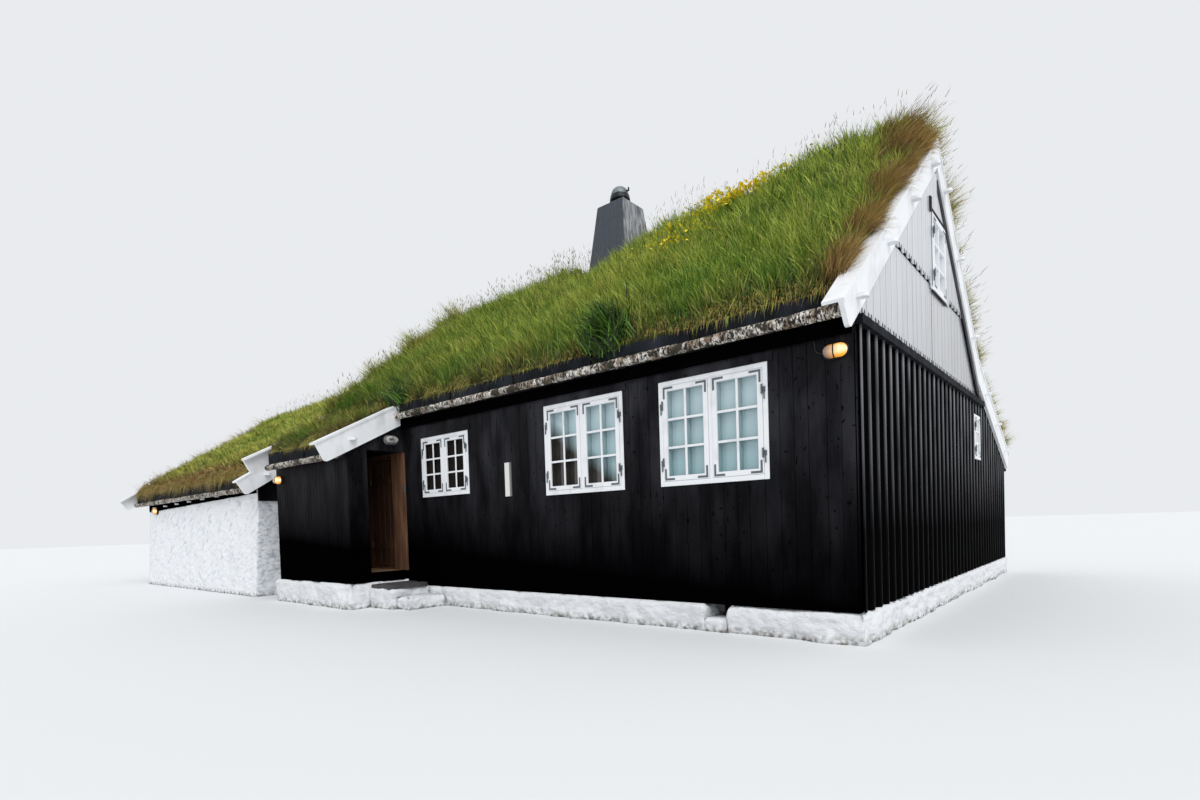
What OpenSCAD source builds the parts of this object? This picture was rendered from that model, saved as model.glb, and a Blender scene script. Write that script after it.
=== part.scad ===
// Turf house: a tarred timber house on a whitewashed stone plinth, with a lobby
// at the front and a whitewashed stone wing at the left, under living turf roofs.
// X runs along the front, Y from the front to the back, Z up from the ground.

/* [Main house] */

// Length of the timber house along the front
main_len = 9140; // [8400:10:10400]
// Thickness of the timber walls
wall_t = 150; // [100:5:180]
// Thickness of the gable walls
gable_t = 120; // [90:5:150]
// Height of the whitewashed plinth over the ground
plinth_h = 272; // [200:2:340]
// How far the plinth stands proud of the boards
plinth_proud = 60; // [30:5:90]
// Width of the plinth masonry
plinth_w = 460; // [400:10:600]
// Top of the floor boards over the ground
floor_top = 496; // [440:2:560]
// Thickness of the floor boards
floor_t = 40; // [25:1:60]
// Width of a floor joist
joist_w = 120; // [80:5:160]
// Distance between floor joists
joist_step = 1100; // [800:50:1500]

/* [Main roof] */

// Distance of the ridge behind the front wall
ridge_y = 2800; // [2600:10:3000]
// Height of the inner ridge line
ridge_z = 5164; // [4950:2:5300]
// Rise of the front slope for each unit of run
front_pitch = 0.81; // [0.76:0.005:0.83]
// Rise of the steep rear slope for each unit of run
rear_pitch = 0.87; // [0.8:0.005:0.92]
// Distance of the bend in the rear slope behind the front wall
bend_y = 5250; // [5000:10:5400]
// Rise of the shallow rear slope for each unit of run
outshot_pitch = 0.41; // [0.36:0.005:0.44]
// Distance of the rear corner behind the front wall
rear_y = 7945; // [7600:5:8200]
// Overhang of the rear eave past the rear corner
rear_over = 205; // [100:5:300]
// Upright thickness of the roof boarding
deck_h = 45; // [30:1:60]
// Gap between a sloping piece and the piece that carries it
seat = 0.3; // [0.2:0.1:0.8]
// Upright thickness of the turf
turf_h = 300; // [220:5:340]
// Overhang of the boarding past the front wall
eave_over = 113; // [80:1:150]
// Radius of the rolled birch bark at the eaves
roll_r = 54; // [52:1:64]
// Height of the middle of the house bark roll over the foot of the boarding
house_roll_rise = 30; // [0:1:40]
// Drop of the middle of the lobby and wing bark rolls below the foot of the boarding
roll_drop = 20; // [5:1:30]
// Height of the top of the turf boards over the foot of the boarding
turf_board_top = 210; // [180:5:240]
// Thickness of the boards that hold the turf
turf_board_t = 30; // [20:1:40]
// Length of one turf board
turf_board_l = 1240; // [900:10:1600]
// Space between two turf boards
turf_board_gap = 60; // [20:5:120]

/* [Bargeboards] */

// Overhang of the boarding past a gable wall
verge_over = 47; // [30:1:60]
// Thickness of a face board
face_t = 40; // [25:1:60]
// Upright height of a face board
face_h = 305; // [250:5:330]
// Thickness of a cap board measured upright
cap_h = 34; // [30:1:60]
// Width of a cap board
cap_w = 180; // [120:5:200]
// How far a cap board stands past its face board
cap_lip = 12; // [5:1:50]
// How far a cap board runs past the eave
cap_run = 415; // [350:5:600]
// How far a cap board runs past the lobby eave
lobby_cap_run = 432; // [380:2:560]
// How far a cap board runs past the wing eave
wing_cap_run = 390; // [300:5:450]
// Depth of the groove in a cap board that holds its face board
cap_groove = 4; // [2:1:10]
// How far the foot of a cap board stands forward of the end of its face board
cap_nose = 3; // [2:0.5:6]
// Radius of the rounded lower corner at the end of a face board
nose_r = 60; // [30:5:80]
// How far the rear face boards run past the rear eave
rear_face_past = 40; // [20:5:60]
// Thickness of a cleat
cleat_t = 30; // [20:1:40]
// Width of a cleat, which is also the width of its rounded end
cleat_w = 90; // [60:5:120]
// How far a cleat stands out of its face board
cleat_out = 90; // [70:5:120]
// Place of the first cleat of the house front, from the front wall backwards
first_cleat_y = -160; // [-200:5:-100]
// Space from cleat to cleat along the house front
cleat_step = 895; // [800:5:950]
// Height of a cleat over the foot of its face board
cleat_rise = 125; // [90:5:180]
// Space between the lobby bargeboard and the house bargeboard over it
barge_gap = 10; // [5:1:30]

/* [Gable wall] */

// Height of the ledge board over the ground
ledge_top = 2810; // [2760:2:2850]
// Height of the ledge board
ledge_h = 75; // [50:1:100]
// How far the ledge board stands out
ledge_out = 80; // [60:1:100]
// Foot of the upper tier of boards over the ground
tier_z = 3730; // [3500:5:3900]
// Overlap of the upper tier over the lower tier
tier_lap = 70; // [40:5:100]
// Outer face of the lower tier past the gable corner
tier_low_out = 40; // [20:1:45]
// Thickness of the lap of the upper tier
tier_lap_t = 16; // [10:1:25]
// Depth of the boards behind the gable corner
tier_in = 70; // [40:5:90]

/* [Windows] */

// Width of the two large front windows
large_w = 1230; // [1100:5:1300]
// Height of the two large front windows
large_h = 1094; // [950:2:1120]
// Sill height of the two large front windows
large_z = 1482; // [1400:2:1500]
// Middle of the right front window, left of the right corner
right_window_x = 1407; // [1200:5:1600]
// Middle of the centre front window, left of the right corner
centre_window_x = 3126; // [2950:5:3300]
// Width of the small front window
small_w = 1110; // [950:5:1200]
// Height of the small front window
small_h = 882; // [800:2:900]
// Sill height of the small front window
small_z = 1590; // [1560:2:1640]
// Middle of the small front window, right of the lobby corner
small_window_in = 1008; // [960:2:1200]
// Width of the attic window
attic_w = 694; // [600:2:760]
// Height of the attic window
attic_h = 895; // [800:5:950]
// Sill height of the attic window
attic_z = 3686; // [3600:2:3760]
// Middle of the attic window behind the front wall
attic_y = 2904; // [2700:2:3000]
// Width of the iron gable window
side_w = 452; // [380:2:500]
// Height of the iron gable window
side_h = 662; // [550:2:700]
// Sill height of the iron gable window
side_z = 1898; // [1700:2:1950]
// Middle of the iron gable window behind the front wall
side_y = 5343; // [5000:1:5500]
// Width of the wood round each pane of glass
frame_w = 105; // [80:1:130]
// Width of the wood between two casements
mullion_w = 150; // [110:1:190]
// Depth of a window frame
frame_d = 90; // [60:1:100]
// How far a window frame stands proud of its wall
frame_proud = 16; // [8:1:25]
// Thickness of the glass
glass_t = 6; // [4:1:10]
// Width of the wood round the attic window
attic_member = 79; // [60:1:100]
// Width of the wood round the iron gable window
side_member = 63; // [50:1:90]
// Lap of the glass behind the wood
glass_lap = 12; // [6:1:20]
// Height of the board over a window
head_h = 84; // [50:2:90]
// How far the board over a window runs past it
head_past = 55; // [20:5:80]
// How far the board over a window stands out
head_out = 24; // [15:1:35]
// Depth of the band under the eave
band_out = 45; // [30:1:60]
// Foot of the band under the eave over the ground
band_z = 2660; // [2640:2:2720]

/* [Plinth vent] */

// Width of the vent in the plinth
vent_w = 242; // [180:2:300]
// Height of the vent in the plinth
vent_h = 139; // [100:1:140]
// Middle of the vent, left of the right corner
vent_x = 1393; // [1200:1:1600]

/* [Lobby] */

// Length of the lobby along the front
lobby_len = 2336; // [2100:2:2600]
// Depth of the lobby
lobby_d = 938; // [850:2:1000]
// Thickness of the lobby walls
lobby_t = 120; // [80:5:140]
// Height of the lobby plinth over the ground
lobby_plinth_h = 360; // [300:2:420]
// Width of the lobby plinth masonry
lobby_plinth_w = 250; // [200:5:280]
// Inner roof height of the lobby at the front wall of the house
lobby_top = 2762; // [2700:2:2780]
// Rise of the lobby roof for each unit of run
lobby_pitch = 0.524; // [0.48:0.004:0.56]
// Overhang of the lobby boarding past its front wall
lobby_eave_over = 70; // [40:2:100]
// Distance of the doorway from the front of the lobby
doorway_front = 298; // [240:2:340]
// Height of the doorway head over the ground
doorway_top = 2310; // [2200:2:2330]
// Thickness of the wooden lining beside the doorway
lining_t = 50; // [30:1:60]
// Depth of the wooden lining beside the doorway
lining_d = 316; // [200:2:400]

/* [Inner door] */

// Width of the door frame
door_frame_w = 900; // [840:2:960]
// Distance from the right lobby corner to the door frame
door_frame_x = 216; // [180:2:300]
// Width of a door jamb
jamb_w = 110; // [80:1:120]
// Top of the door sill over the ground
sill_top = 540; // [510:1:570]
// Height of the door opening
door_h = 1700; // [1600:5:1740]
// Height of the door head
door_head_h = 90; // [60:1:120]
// Thickness of the door leaf
leaf_t = 45; // [30:1:60]
// Gap all round the door leaf
leaf_gap = 9; // [9:1:14]
// Height of a rail on the door leaf
rail_h = 110; // [80:5:150]
// Thickness of a rail on the door leaf
rail_t = 22; // [12:1:30]
// Distance of a rail from the end of the door leaf
rail_from_end = 271; // [200:5:350]
// Distance of a rail from the edge of the door leaf
rail_from_edge = 105; // [100:5:150]
// Radius of a hinge pin
pin_r = 8; // [6:0.5:9]
// Running clearance of a hinge pin
pin_clear = 0.1; // [0.05:0.05:0.3]
// Radius of a hinge knuckle
knuckle_r = 13; // [11:0.5:14]
// Height of a hinge knuckle
knuckle_h = 50; // [40:2:60]
// Distance of a hinge pin in front of the wall
pin_out = 16; // [15:0.5:18]
// Thickness of a hinge strap
strap_t = 6; // [5:0.5:7]
// Length of a hinge strap on the door leaf
strap_l = 88; // [60:2:95]
// Length of a hinge plate on the jamb
plate_l = 60; // [40:2:90]
// Height of the collar that carries a knuckle
collar_h = 26; // [15:1:35]
// Gap under a knuckle
knuckle_gap = 0.3; // [0.2:0.1:1]

/* [Steps] */

// Length of the upper door step
step_l = 560; // [400:10:700]
// Height of the upper door step
step_h = 330; // [280:5:350]
// Length of the lower door step
low_step_l = 320; // [250:10:450]
// Height of the lower door step
low_step_h = 165; // [120:5:200]

/* [Stone wing] */

// Distance of the right corner of the wing, left of the house
wing_gap = 1120; // [900:10:1300]
// Length of the wing front
wing_len = 6364; // [5600:4:7000]
// Distance of the wing front before the front wall of the house
wing_front = 816; // [700:2:860]
// Thickness of the stone walls
stone_t = 600; // [500:10:700]
// Height of the stone front wall
wing_wall_h = 2000; // [1900:5:2100]
// Distance of the wing ridge behind the front wall of the house
wing_ridge_y = 2500; // [2400:5:2550]
// Rise of the wing roof for each unit of run
wing_pitch = 0.645; // [0.62:0.005:0.66]
// Overhang of the wing boarding past its front wall
wing_eave_over = 70; // [40:2:100]
// Overhang of the wing roof past its left wall
wing_left_over = 641; // [300:1:700]
// Overhang of the wing roof past its right corner
wing_right_over = 260; // [150:10:300]
// How far the foot of the stone front wall stands out
batter = 110; // [40:5:140]
// Height over the ground where the stone front wall becomes upright
batter_top = 1500; // [1300:10:1600]
// Foot of the boards over the notch beside the wing
wing_gable_z = 1720; // [1600:10:1800]
// Thickness of the boards over the notch beside the wing
wing_gable_t = 60; // [30:5:80]
// Thickness of the rear stone wall of the house
rear_stone_t = 595; // [500:5:700]
// How far the foot of the rear wall stands out
rear_batter = 520; // [200:10:600]
// Height of the bow in the rear wall over the ground
rear_bow_z = 870; // [600:10:1100]
// How far the rear wall stands out at its bow
rear_bow_out = 260; // [110:5:340]

/* [Chimney] */

// Distance of the chimney, left of the right corner
chimney_x = 4620; // [3500:10:5500]
// Top of the chimney over the ground
chimney_top = 6300; // [6100:5:6500]
// Width of the chimney at its top
chimney_w = 515; // [450:5:600]
// How much wider each side is at the ridge
chimney_flare = 110; // [60:5:140]
// Width of the flue
flue_w = 250; // [180:5:320]
// Radius of the cowl
cowl_r = 170; // [140:5:200]
// Radius of the neck under the cowl
cowl_neck_r = 136; // [110:2:138]
// Thickness of the slate under the cowl
cowl_slate_t = 20; // [10:1:40]
// Rim of the chimney round the slate under the cowl
cowl_rim = 30; // [10:2:50]
// Height of the cowl collar
cowl_collar = 108; // [80:4:140]
// Height of the straight side of the cowl
cowl_drum = 70; // [40:5:100]
// How far the dome of the cowl stands in from its straight side
cowl_lip = 8; // [4:1:14]

/* [Lamps and plaque] */

// Length of a bulkhead lamp
lamp_l = 240; // [180:2:280]
// Height of a bulkhead lamp
lamp_h = 150; // [110:2:180]
// Depth of a lamp back plate
lamp_back = 35; // [20:1:50]
// Depth of a lamp glass
lamp_glass = 65; // [40:1:80]
// Rim between the back plate and the lamp glass
lamp_rim = 16; // [8:1:25]
// Distance of the lamp on the house front from the right corner
front_lamp_x = 150; // [130:5:400]
// Height of the lamp on the house front
front_lamp_z = 2538; // [2400:2:2550]
// Distance of the lamp over the doorway before the house front
doorway_lamp_y = 250; // [200:5:400]
// Height of the lamp over the doorway
doorway_lamp_z = 2480; // [2420:2:2490]
// Distance of the lobby front lamp from the left corner
lobby_lamp_x = 140; // [130:5:400]
// Height of the lobby front lamp
lobby_lamp_z = 2000; // [1800:5:2040]
// Distance of the wing lamp from the left corner of the wing
wing_lamp_x = 544; // [300:2:900]
// Height of the wing lamp
wing_lamp_z = 1750; // [1690:5:1765]
// Middle of the plaque, left of the right corner
plaque_x = 4424; // [4100:2:4700]
// Foot of the plaque over the ground
plaque_z = 1510; // [1300:5:1600]
// Width of the blank plaque
plaque_w = 118; // [80:2:150]
// Height of the blank plaque
plaque_h = 438; // [300:2:500]
// Thickness of the blank plaque
plaque_t = 25; // [10:1:40]

/* [Hidden] */

$fn = 48;
eps = 1;
// share of its radius at which the middle of a rounding lies in from the edges that it rounds
nose_share = 0.96;

function main_in(y) = y <= ridge_y ? ridge_z - front_pitch * (ridge_y - y)
    : y <= bend_y ? ridge_z - rear_pitch * (y - ridge_y)
    : ridge_z - rear_pitch * (bend_y - ridge_y) - outshot_pitch * (y - bend_y);
function lobby_in(y) = lobby_top + lobby_pitch * y;
function wing_in(y) = wing_top - wing_pitch * abs(y - wing_ridge_y);

// tops of the walls just under the boarding
function main_seat(y) = main_in(y) - seat;
function lobby_seat(y) = lobby_in(y) - seat;
function wing_seat(y) = wing_in(y) - seat;
function front_at(z) = ridge_y - (main_seat(ridge_y) - z) / front_pitch;
function rear_at(z) = ridge_y + (main_seat(ridge_y) - z) / rear_pitch;

// run from the edge of the boarding to the middle of a roll that lies against it
function roll_out(rise) = rise > 0 ? roll_r + seat : sqrt(pow(roll_r + seat, 2) - pow(rise, 2));

eave_y = -eave_over;
small_window_x = main_len - lobby_len - small_window_in;
bend_z = main_in(bend_y);
rear_eave_y = rear_y + rear_over;
ledge_end_y = bend_y + (main_seat(bend_y) - ledge_top) / outshot_pitch;
plinth_out_y = -plinth_proud;
rear_in_y = rear_y - rear_stone_t;
verge_x = verge_over;
face_x = verge_over + face_t;
front_cap_y = eave_y - cap_run;

lobby_right = -(main_len - lobby_len);
lobby_front = -lobby_d;
lobby_eave_y = lobby_front - lobby_eave_over;
lobby_cap_y = lobby_eave_y - lobby_cap_run;
lobby_back = -eave_over;
lobby_barge_y = lobby_back - roll_r - roll_out(house_roll_rise);
left_cap_y = lobby_barge_y + barge_gap;
cap_in = cap_w - cap_lip - face_t;
turf_low = deck_h + seat;
turf_edge_h = face_h - seat - turf_low;
front_cleats = [for (y = [first_cleat_y : cleat_step : ridge_y]) y];
rear_cleats = [3140, 3840, 4770, 5830, 6750, 7650];
lobby_cleats = [-900];
wing_cleats = [-760];

door_right = lobby_right - door_frame_x;
door_left = door_right - door_frame_w;
door_top = sill_top + door_h;
frame_top = door_top + door_head_h;
leaf_left = door_left + jamb_w + leaf_gap;
leaf_right = door_right - jamb_w - leaf_gap;
leaf_z0 = sill_top + leaf_gap;
leaf_z1 = door_top - leaf_gap;
rail_zs = [leaf_z0 + rail_from_end, leaf_z1 - rail_from_end - rail_h];
pin_x = leaf_left - leaf_gap / 2;

wing_right = -main_len - wing_gap;
wing_left = wing_right - wing_len;
wing_front_y = -wing_front;
wing_back_y = 2 * wing_ridge_y + wing_front;
wing_top = wing_wall_h + wing_pitch * (wing_ridge_y + wing_front);
wing_eave_y = wing_front_y - wing_eave_over;
wing_rear_eave_y = 2 * wing_ridge_y - wing_eave_y;
wing_cap_y = wing_eave_y - wing_cap_run;
wing_verge_left = wing_left - wing_left_over;
wing_verge_right = wing_right + wing_right_over;
link_y = wall_t;
attic_x = tier_low_out + tier_lap_t + frame_proud;

rear_foot_y = rear_y + rear_batter;
x_max = face_x + cleat_out;
x_min = wing_verge_left - face_t - cap_lip;
y_min = min(lobby_cap_y, wing_cap_y, front_cap_y);
y_max = max(rear_foot_y, rear_eave_y + rear_face_past);
mid_x = (x_min + x_max) / 2;
mid_y = (y_min + y_max) / 2;

module placed() {
    translate([-mid_x, -mid_y, 0]) children();
}

// a side outline in Y and Z, drawn out along X
module along_x(x0, x1, outline) {
    translate([x0, 0, 0]) rotate([90, 0, 90]) linear_extrude(x1 - x0) polygon(outline);
}

// a front outline in X and Z, drawn out along Y
module along_y(y0, y1, outline) {
    translate([0, y1, 0]) rotate([90, 0, 0]) linear_extrude(y1 - y0) polygon(outline);
}

module box(x0, x1, y0, y1, z0, z1) {
    translate([x0, y0, z0]) cube([x1 - x0, y1 - y0, z1 - z0]);
}

module roll(x0, x1, edge_y, edge_z, rise) {
    translate([x0, edge_y - roll_out(rise), edge_z + rise]) rotate([0, 90, 0])
        cylinder(r = roll_r, h = x1 - x0);
}

// Masonry

// the front plinth stops on both sides of the vent, over a low sill
module front_plinth() {
    color("white") placed() {
        box(-main_len, -vent_x - vent_w / 2, plinth_out_y, plinth_out_y + plinth_w, 0, plinth_h);
        box(-vent_x + vent_w / 2, plinth_proud, plinth_out_y, plinth_out_y + plinth_w, 0, plinth_h);
    }
}

module vent_sill() {
    color("white") placed() box(-vent_x - vent_w / 2, -vent_x + vent_w / 2, plinth_out_y,
        plinth_out_y + plinth_w, 0, plinth_h - vent_h);
}

module side_plinths() {
    y0 = plinth_out_y + plinth_w;
    color("white") placed() {
        box(plinth_proud - plinth_w, plinth_proud, y0, rear_in_y, 0, plinth_h);
        box(-gable_t, plinth_proud, rear_in_y, rear_y, 0, plinth_h);
        box(-main_len, plinth_w - main_len, y0, rear_in_y, 0, plinth_h);
        box(-main_len, gable_t - main_len, rear_in_y, rear_y, 0, plinth_h);
    }
}

module lobby_plinth() {
    out_x = lobby_right + plinth_proud;
    in_y = plinth_out_y;
    color("white") placed() {
        box(-main_len - plinth_proud, out_x, lobby_front - plinth_proud,
            lobby_front - plinth_proud + lobby_plinth_w, 0, lobby_plinth_h);
        box(-main_len - plinth_proud, -main_len - plinth_proud + lobby_plinth_w,
            lobby_front - plinth_proud, in_y, 0, lobby_plinth_h);
        box(out_x - lobby_plinth_w, out_x, lobby_front - plinth_proud, in_y, 0, lobby_plinth_h);
    }
}

module door_step() {
    x0 = lobby_right + plinth_proud;
    color("dimgray") placed() {
        box(x0, x0 + step_l, lobby_front + doorway_front - plinth_proud, plinth_out_y, 0, step_h);
        box(x0 + step_l, x0 + step_l + low_step_l, lobby_front + doorway_front, plinth_out_y, 0, low_step_h);
    }
}

module rear_wall() {
    top = main_seat(rear_y);
    color("white") placed() {
        along_x(gable_t - main_len, -gable_t,
            [[rear_in_y, 0], [rear_y, 0], [rear_y, top], [rear_in_y, main_seat(rear_in_y)]]);
        along_x(-main_len, 0,
            [[rear_y, 0], [rear_foot_y, 0], [rear_y + rear_bow_out, rear_bow_z], [rear_y, top]]);
    }
}

// Floors

module floors() {
    color("burlywood") placed() {
        box(gable_t - main_len, -gable_t, wall_t, rear_in_y, floor_top - floor_t, floor_top);
        box(lobby_t - main_len, lobby_right - lobby_t, lobby_front + lobby_t, 0, lobby_plinth_h, floor_top);
    }
}

module floor_joists() {
    color("burlywood") placed()
        for (x = [plinth_w - main_len - joist_w / 2 : joist_step : -plinth_w])
            box(x, x + joist_w, wall_t, rear_in_y, plinth_h, floor_top - floor_t);
}

// Timber walls

module front_hole(x, w, z, h) {
    box(-x - w / 2, -x + w / 2, -wall_t, 2 * wall_t, z, z + h);
}

module head_board(x, w, z) {
    box(-x - w / 2 - head_past, -x + w / 2 + head_past, -head_out, 0, z, z + head_h);
}

module wall_slab(x0, x1, z0) {
    along_x(x0, x1, [[0, z0], [wall_t, z0], [wall_t, main_seat(wall_t)], [0, main_seat(0)]]);
}

module front_wall() {
    color("black") placed() {
        difference() {
            wall_slab(door_right, 0, plinth_h);
            front_hole(right_window_x, large_w, large_z, large_h);
            front_hole(centre_window_x, large_w, large_z, large_h);
            front_hole(small_window_x, small_w, small_z, small_h);
        }
        wall_slab(-main_len, door_left, plinth_h);
        head_board(right_window_x, large_w, large_z + large_h);
        head_board(centre_window_x, large_w, large_z + large_h);
        head_board(small_window_x, small_w, small_z + small_h);
        along_x(lobby_right + verge_x, 0,
            [[-band_out, band_z], [0, band_z], [0, main_seat(0)], [-band_out, main_seat(-band_out)]]);
    }
}

module over_door_wall() {
    color("black") placed() wall_slab(door_left, door_right, frame_top);
}

module iron_gable() {
    color("dimgray") placed() difference() {
        along_x(-gable_t, 0, [[wall_t, plinth_h], [rear_y, plinth_h], [rear_y, main_seat(rear_y)],
            [ledge_end_y, ledge_top], [wall_t, ledge_top]]);
        box(-2 * gable_t, gable_t, side_y - side_w / 2, side_y + side_w / 2, side_z, side_z + side_h);
    }
}

module gable_ledge() {
    color("black") placed() box(0, ledge_out, -head_out, ledge_end_y, ledge_top - ledge_h, ledge_top);
}

module attic_hole() {
    box(-2 * gable_t, 2 * gable_t, attic_y - attic_w / 2, attic_y + attic_w / 2, attic_z, attic_z + attic_h);
}

module gable_boards_lower() {
    top = tier_z + tier_lap;
    color("gray") placed() difference() {
        along_x(-tier_in, tier_low_out, [[0, ledge_top], [0, main_seat(0)], [front_at(top), top],
            [rear_at(top), top], [bend_y, main_seat(bend_y)], [ledge_end_y, ledge_top]]);
        box(-gable_t, 0, -wall_t, wall_t, 0, ridge_z);
        attic_hole();
    }
}

module gable_boards_upper() {
    top = tier_z + tier_lap;
    color("gray") placed() difference() {
        along_x(-tier_in, tier_low_out + tier_lap_t,
            [[front_at(tier_z), tier_z], [ridge_y, main_seat(ridge_y)], [rear_at(tier_z), tier_z]]);
        box(-gable_t, tier_low_out, 0, rear_y, 0, top);
        attic_hole();
    }
}

module left_gable() {
    color("black") placed() along_x(-main_len, gable_t - main_len,
        [[wall_t, plinth_h], [rear_y, plinth_h], [rear_y, main_seat(rear_y)],
         [bend_y, main_seat(bend_y)], [ridge_y, main_seat(ridge_y)], [wall_t, main_seat(wall_t)]]);
}

// Main roof

module main_sheet(points, lift, h, in) {
    top = [for (i = [len(points) - 1 : -1 : 0]) [points[i], main_in(points[i]) + lift + h]];
    low = [for (y = points) [y, main_in(y) + lift]];
    along_x(-main_len - verge_x + in, verge_x - in, concat(low, top));
}

module chimney_shaft(grow) {
    low = main_in(ridge_y) - turf_h;
    half = chimney_w / 2;
    slope = chimney_flare / (chimney_top - ridge_z - deck_h - turf_h / 2);
    foot = half + slope * (chimney_top - low);
    intersection() {
        along_x(-chimney_x - foot - grow, -chimney_x + foot + grow,
            [[ridge_y - foot - grow, low], [ridge_y + foot + grow, low],
             [ridge_y + half + grow, chimney_top], [ridge_y - half - grow, chimney_top]]);
        along_y(ridge_y - foot - grow, ridge_y + foot + grow,
            [[-chimney_x - foot - grow, low], [-chimney_x + foot + grow, low],
             [-chimney_x + half + grow, chimney_top], [-chimney_x - half - grow, chimney_top]]);
    }
}

module deck_front() {
    color("saddlebrown") placed() main_sheet([eave_y, ridge_y], 0, deck_h, 0);
}

module deck_rear() {
    color("saddlebrown") placed() main_sheet([ridge_y, bend_y, rear_eave_y], 0, deck_h, 0);
}

// the turf is full width up to the cap boards and stops beside them above that
module turf_sheet(points) {
    difference() {
        union() {
            main_sheet(points, turf_low, turf_edge_h, 0);
            main_sheet(points, turf_low, turf_h - seat, cap_in);
        }
        chimney_shaft(seat);
    }
}

module turf_front() {
    color("olivedrab") placed() turf_sheet([eave_y, ridge_y]);
}

module turf_rear() {
    color("olivedrab") placed() turf_sheet([ridge_y, bend_y, rear_eave_y]);
}

module bark_rolls() {
    color("lightgray") placed() {
        roll(lobby_right + face_x + seat, verge_x, eave_y, main_in(eave_y), house_roll_rise);
        roll(-main_len - verge_x, lobby_right + verge_x, lobby_eave_y, lobby_in(lobby_eave_y), -roll_drop);
        roll(wing_verge_left, wing_verge_right, wing_eave_y, wing_in(wing_eave_y), -roll_drop);
    }
}

module board_row(x0, x1, edge_y, edge_z, rise) {
    z0 = edge_z + rise + roll_r;
    step = turf_board_l + turf_board_gap;
    for (x = [x0 : step : x1 - turf_board_gap])
        box(x, min(x + turf_board_l, x1), edge_y - turf_board_t, edge_y, z0, edge_z + turf_board_top);
}

module turf_boards() {
    color("dimgray") placed() {
        board_row(lobby_right + lobby_t, verge_x, eave_y, main_in(eave_y), house_roll_rise);
        board_row(-main_len - verge_x, lobby_right + verge_x, lobby_eave_y, lobby_in(lobby_eave_y),
            -roll_drop);
        board_row(wing_verge_left, wing_verge_right, wing_eave_y, wing_in(wing_eave_y), -roll_drop);
    }
}

// Bargeboards: side is 1 for a board that faces right and -1 for one that faces left

module cleat(x, side, y, z) {
    tip = x + side * (cleat_out - cleat_w / 2);
    box(min(x, tip), max(x, tip), y - cleat_w / 2, y + cleat_w / 2, z, z + cleat_t);
    translate([tip, y, z]) cylinder(r = cleat_w / 2, h = cleat_t);
}

// the end of a bargeboard is cut square to its slope k; h is the height over its foot line
function cut_point(y, z, k, h) = [y + k * (face_h + cap_h - h) / (1 + k * k),
    z + k * k * (face_h + cap_h - h) / (1 + k * k) + h];
function inward(k) = [sign(k), abs(k)] / sqrt(1 + k * k);
function upward(k) = [-k, 1] / sqrt(1 + k * k);
function cap_foot(y, z, k) = cut_point(y, z, k, face_h) - cap_nose * inward(k);

// what is cut from the square lower corner of a face board to round it; the arc meets the edges at a
// slight angle
module rounding(x, corner, k) {
    reach = nose_r * nose_share;
    mid = corner + reach * (inward(k) + upward(k));
    difference() {
        along_x(x - seat, x + face_t + seat,
            [corner - seat * (inward(k) + upward(k)), corner + reach * inward(k) - seat * upward(k), mid,
             corner + reach * upward(k) - seat * inward(k)]);
        translate([x - 2 * seat, mid[0], mid[1]]) rotate([0, 90, 0]) cylinder(r = nose_r, h = face_t + 4 * seat);
    }
}

module barge(x, side, outline, corner, k, cap_outline, cleats) {
    inner = side > 0 ? x : x - face_t;
    cap_a = side > 0 ? x + face_t + cap_lip - cap_w : x - face_t - cap_lip;
    difference() {
        along_x(inner, inner + face_t, outline);
        rounding(inner, corner, k);
    }
    along_x(cap_a, cap_a + cap_w, cap_outline);
    for (c = cleats) cleat(x + side * face_t, side, c[0], c[1]);
}

// the cap board may stop short of the upper end of the face board, at cap_y
module rising_barge(x, side, y0, z0, y1, z1, cap_y, cleats) {
    k = (z1 - z0) / (y1 - y0);
    corner = cut_point(y0, z0, k, 0);
    groove = face_h + cap_groove;
    face = [corner, cut_point(y0, z0, k, groove), [y1, z1 + groove], [y1, z1]];
    cap_z = z0 + k * (cap_y - y0) + face_h;
    cap = [cap_foot(y0, z0, k), [y0, z0 + face_h + cap_h], [cap_y, cap_z + cap_h], [cap_y, cap_z]];
    barge(x, side, face, corner, k, cap, [for (y = cleats) [y, z0 + k * (y - y0) + cleat_rise]]);
}

module barge_right_front() {
    color("white") placed()
        rising_barge(verge_x, 1, front_cap_y, main_in(front_cap_y), ridge_y, ridge_z, ridge_y,
            front_cleats);
}

module rear_barge(x, side, cleats) {
    end_y = rear_eave_y + rear_face_past;
    end_z = main_in(end_y);
    k = -outshot_pitch;
    corner = cut_point(end_y, end_z, k, 0);
    groove = face_h + cap_groove;
    face = [[ridge_y, ridge_z], [bend_y, bend_z], corner, cut_point(end_y, end_z, k, groove),
        [bend_y, bend_z + groove], [ridge_y, ridge_z + groove]];
    cap = [[ridge_y, ridge_z + face_h], [bend_y, bend_z + face_h], cap_foot(end_y, end_z, k),
        [end_y, end_z + face_h + cap_h], [bend_y, bend_z + face_h + cap_h],
        [ridge_y, ridge_z + face_h + cap_h]];
    barge(x, side, face, corner, k, cap, [for (y = cleats) [y, main_in(y) + cleat_rise]]);
}

module barge_right_rear() {
    color("white") placed() rear_barge(verge_x, 1, rear_cleats);
}

module barge_left() {
    x = -main_len - verge_x;
    color("white") placed() {
        rising_barge(x, -1, left_cap_y, main_in(left_cap_y), ridge_y, ridge_z, ridge_y, []);
        rear_barge(x, -1, []);
    }
}

// Lobby

module lobby_slab(x0, x1, y0, y1, z0) {
    along_x(x0, x1, [[y0, z0], [y1, z0], [y1, lobby_seat(y1)], [y0, lobby_seat(y0)]]);
}

module lobby_front_wall() {
    color("black") placed()
        lobby_slab(-main_len, lobby_right, lobby_front, lobby_front + lobby_t, lobby_plinth_h);
}

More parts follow.
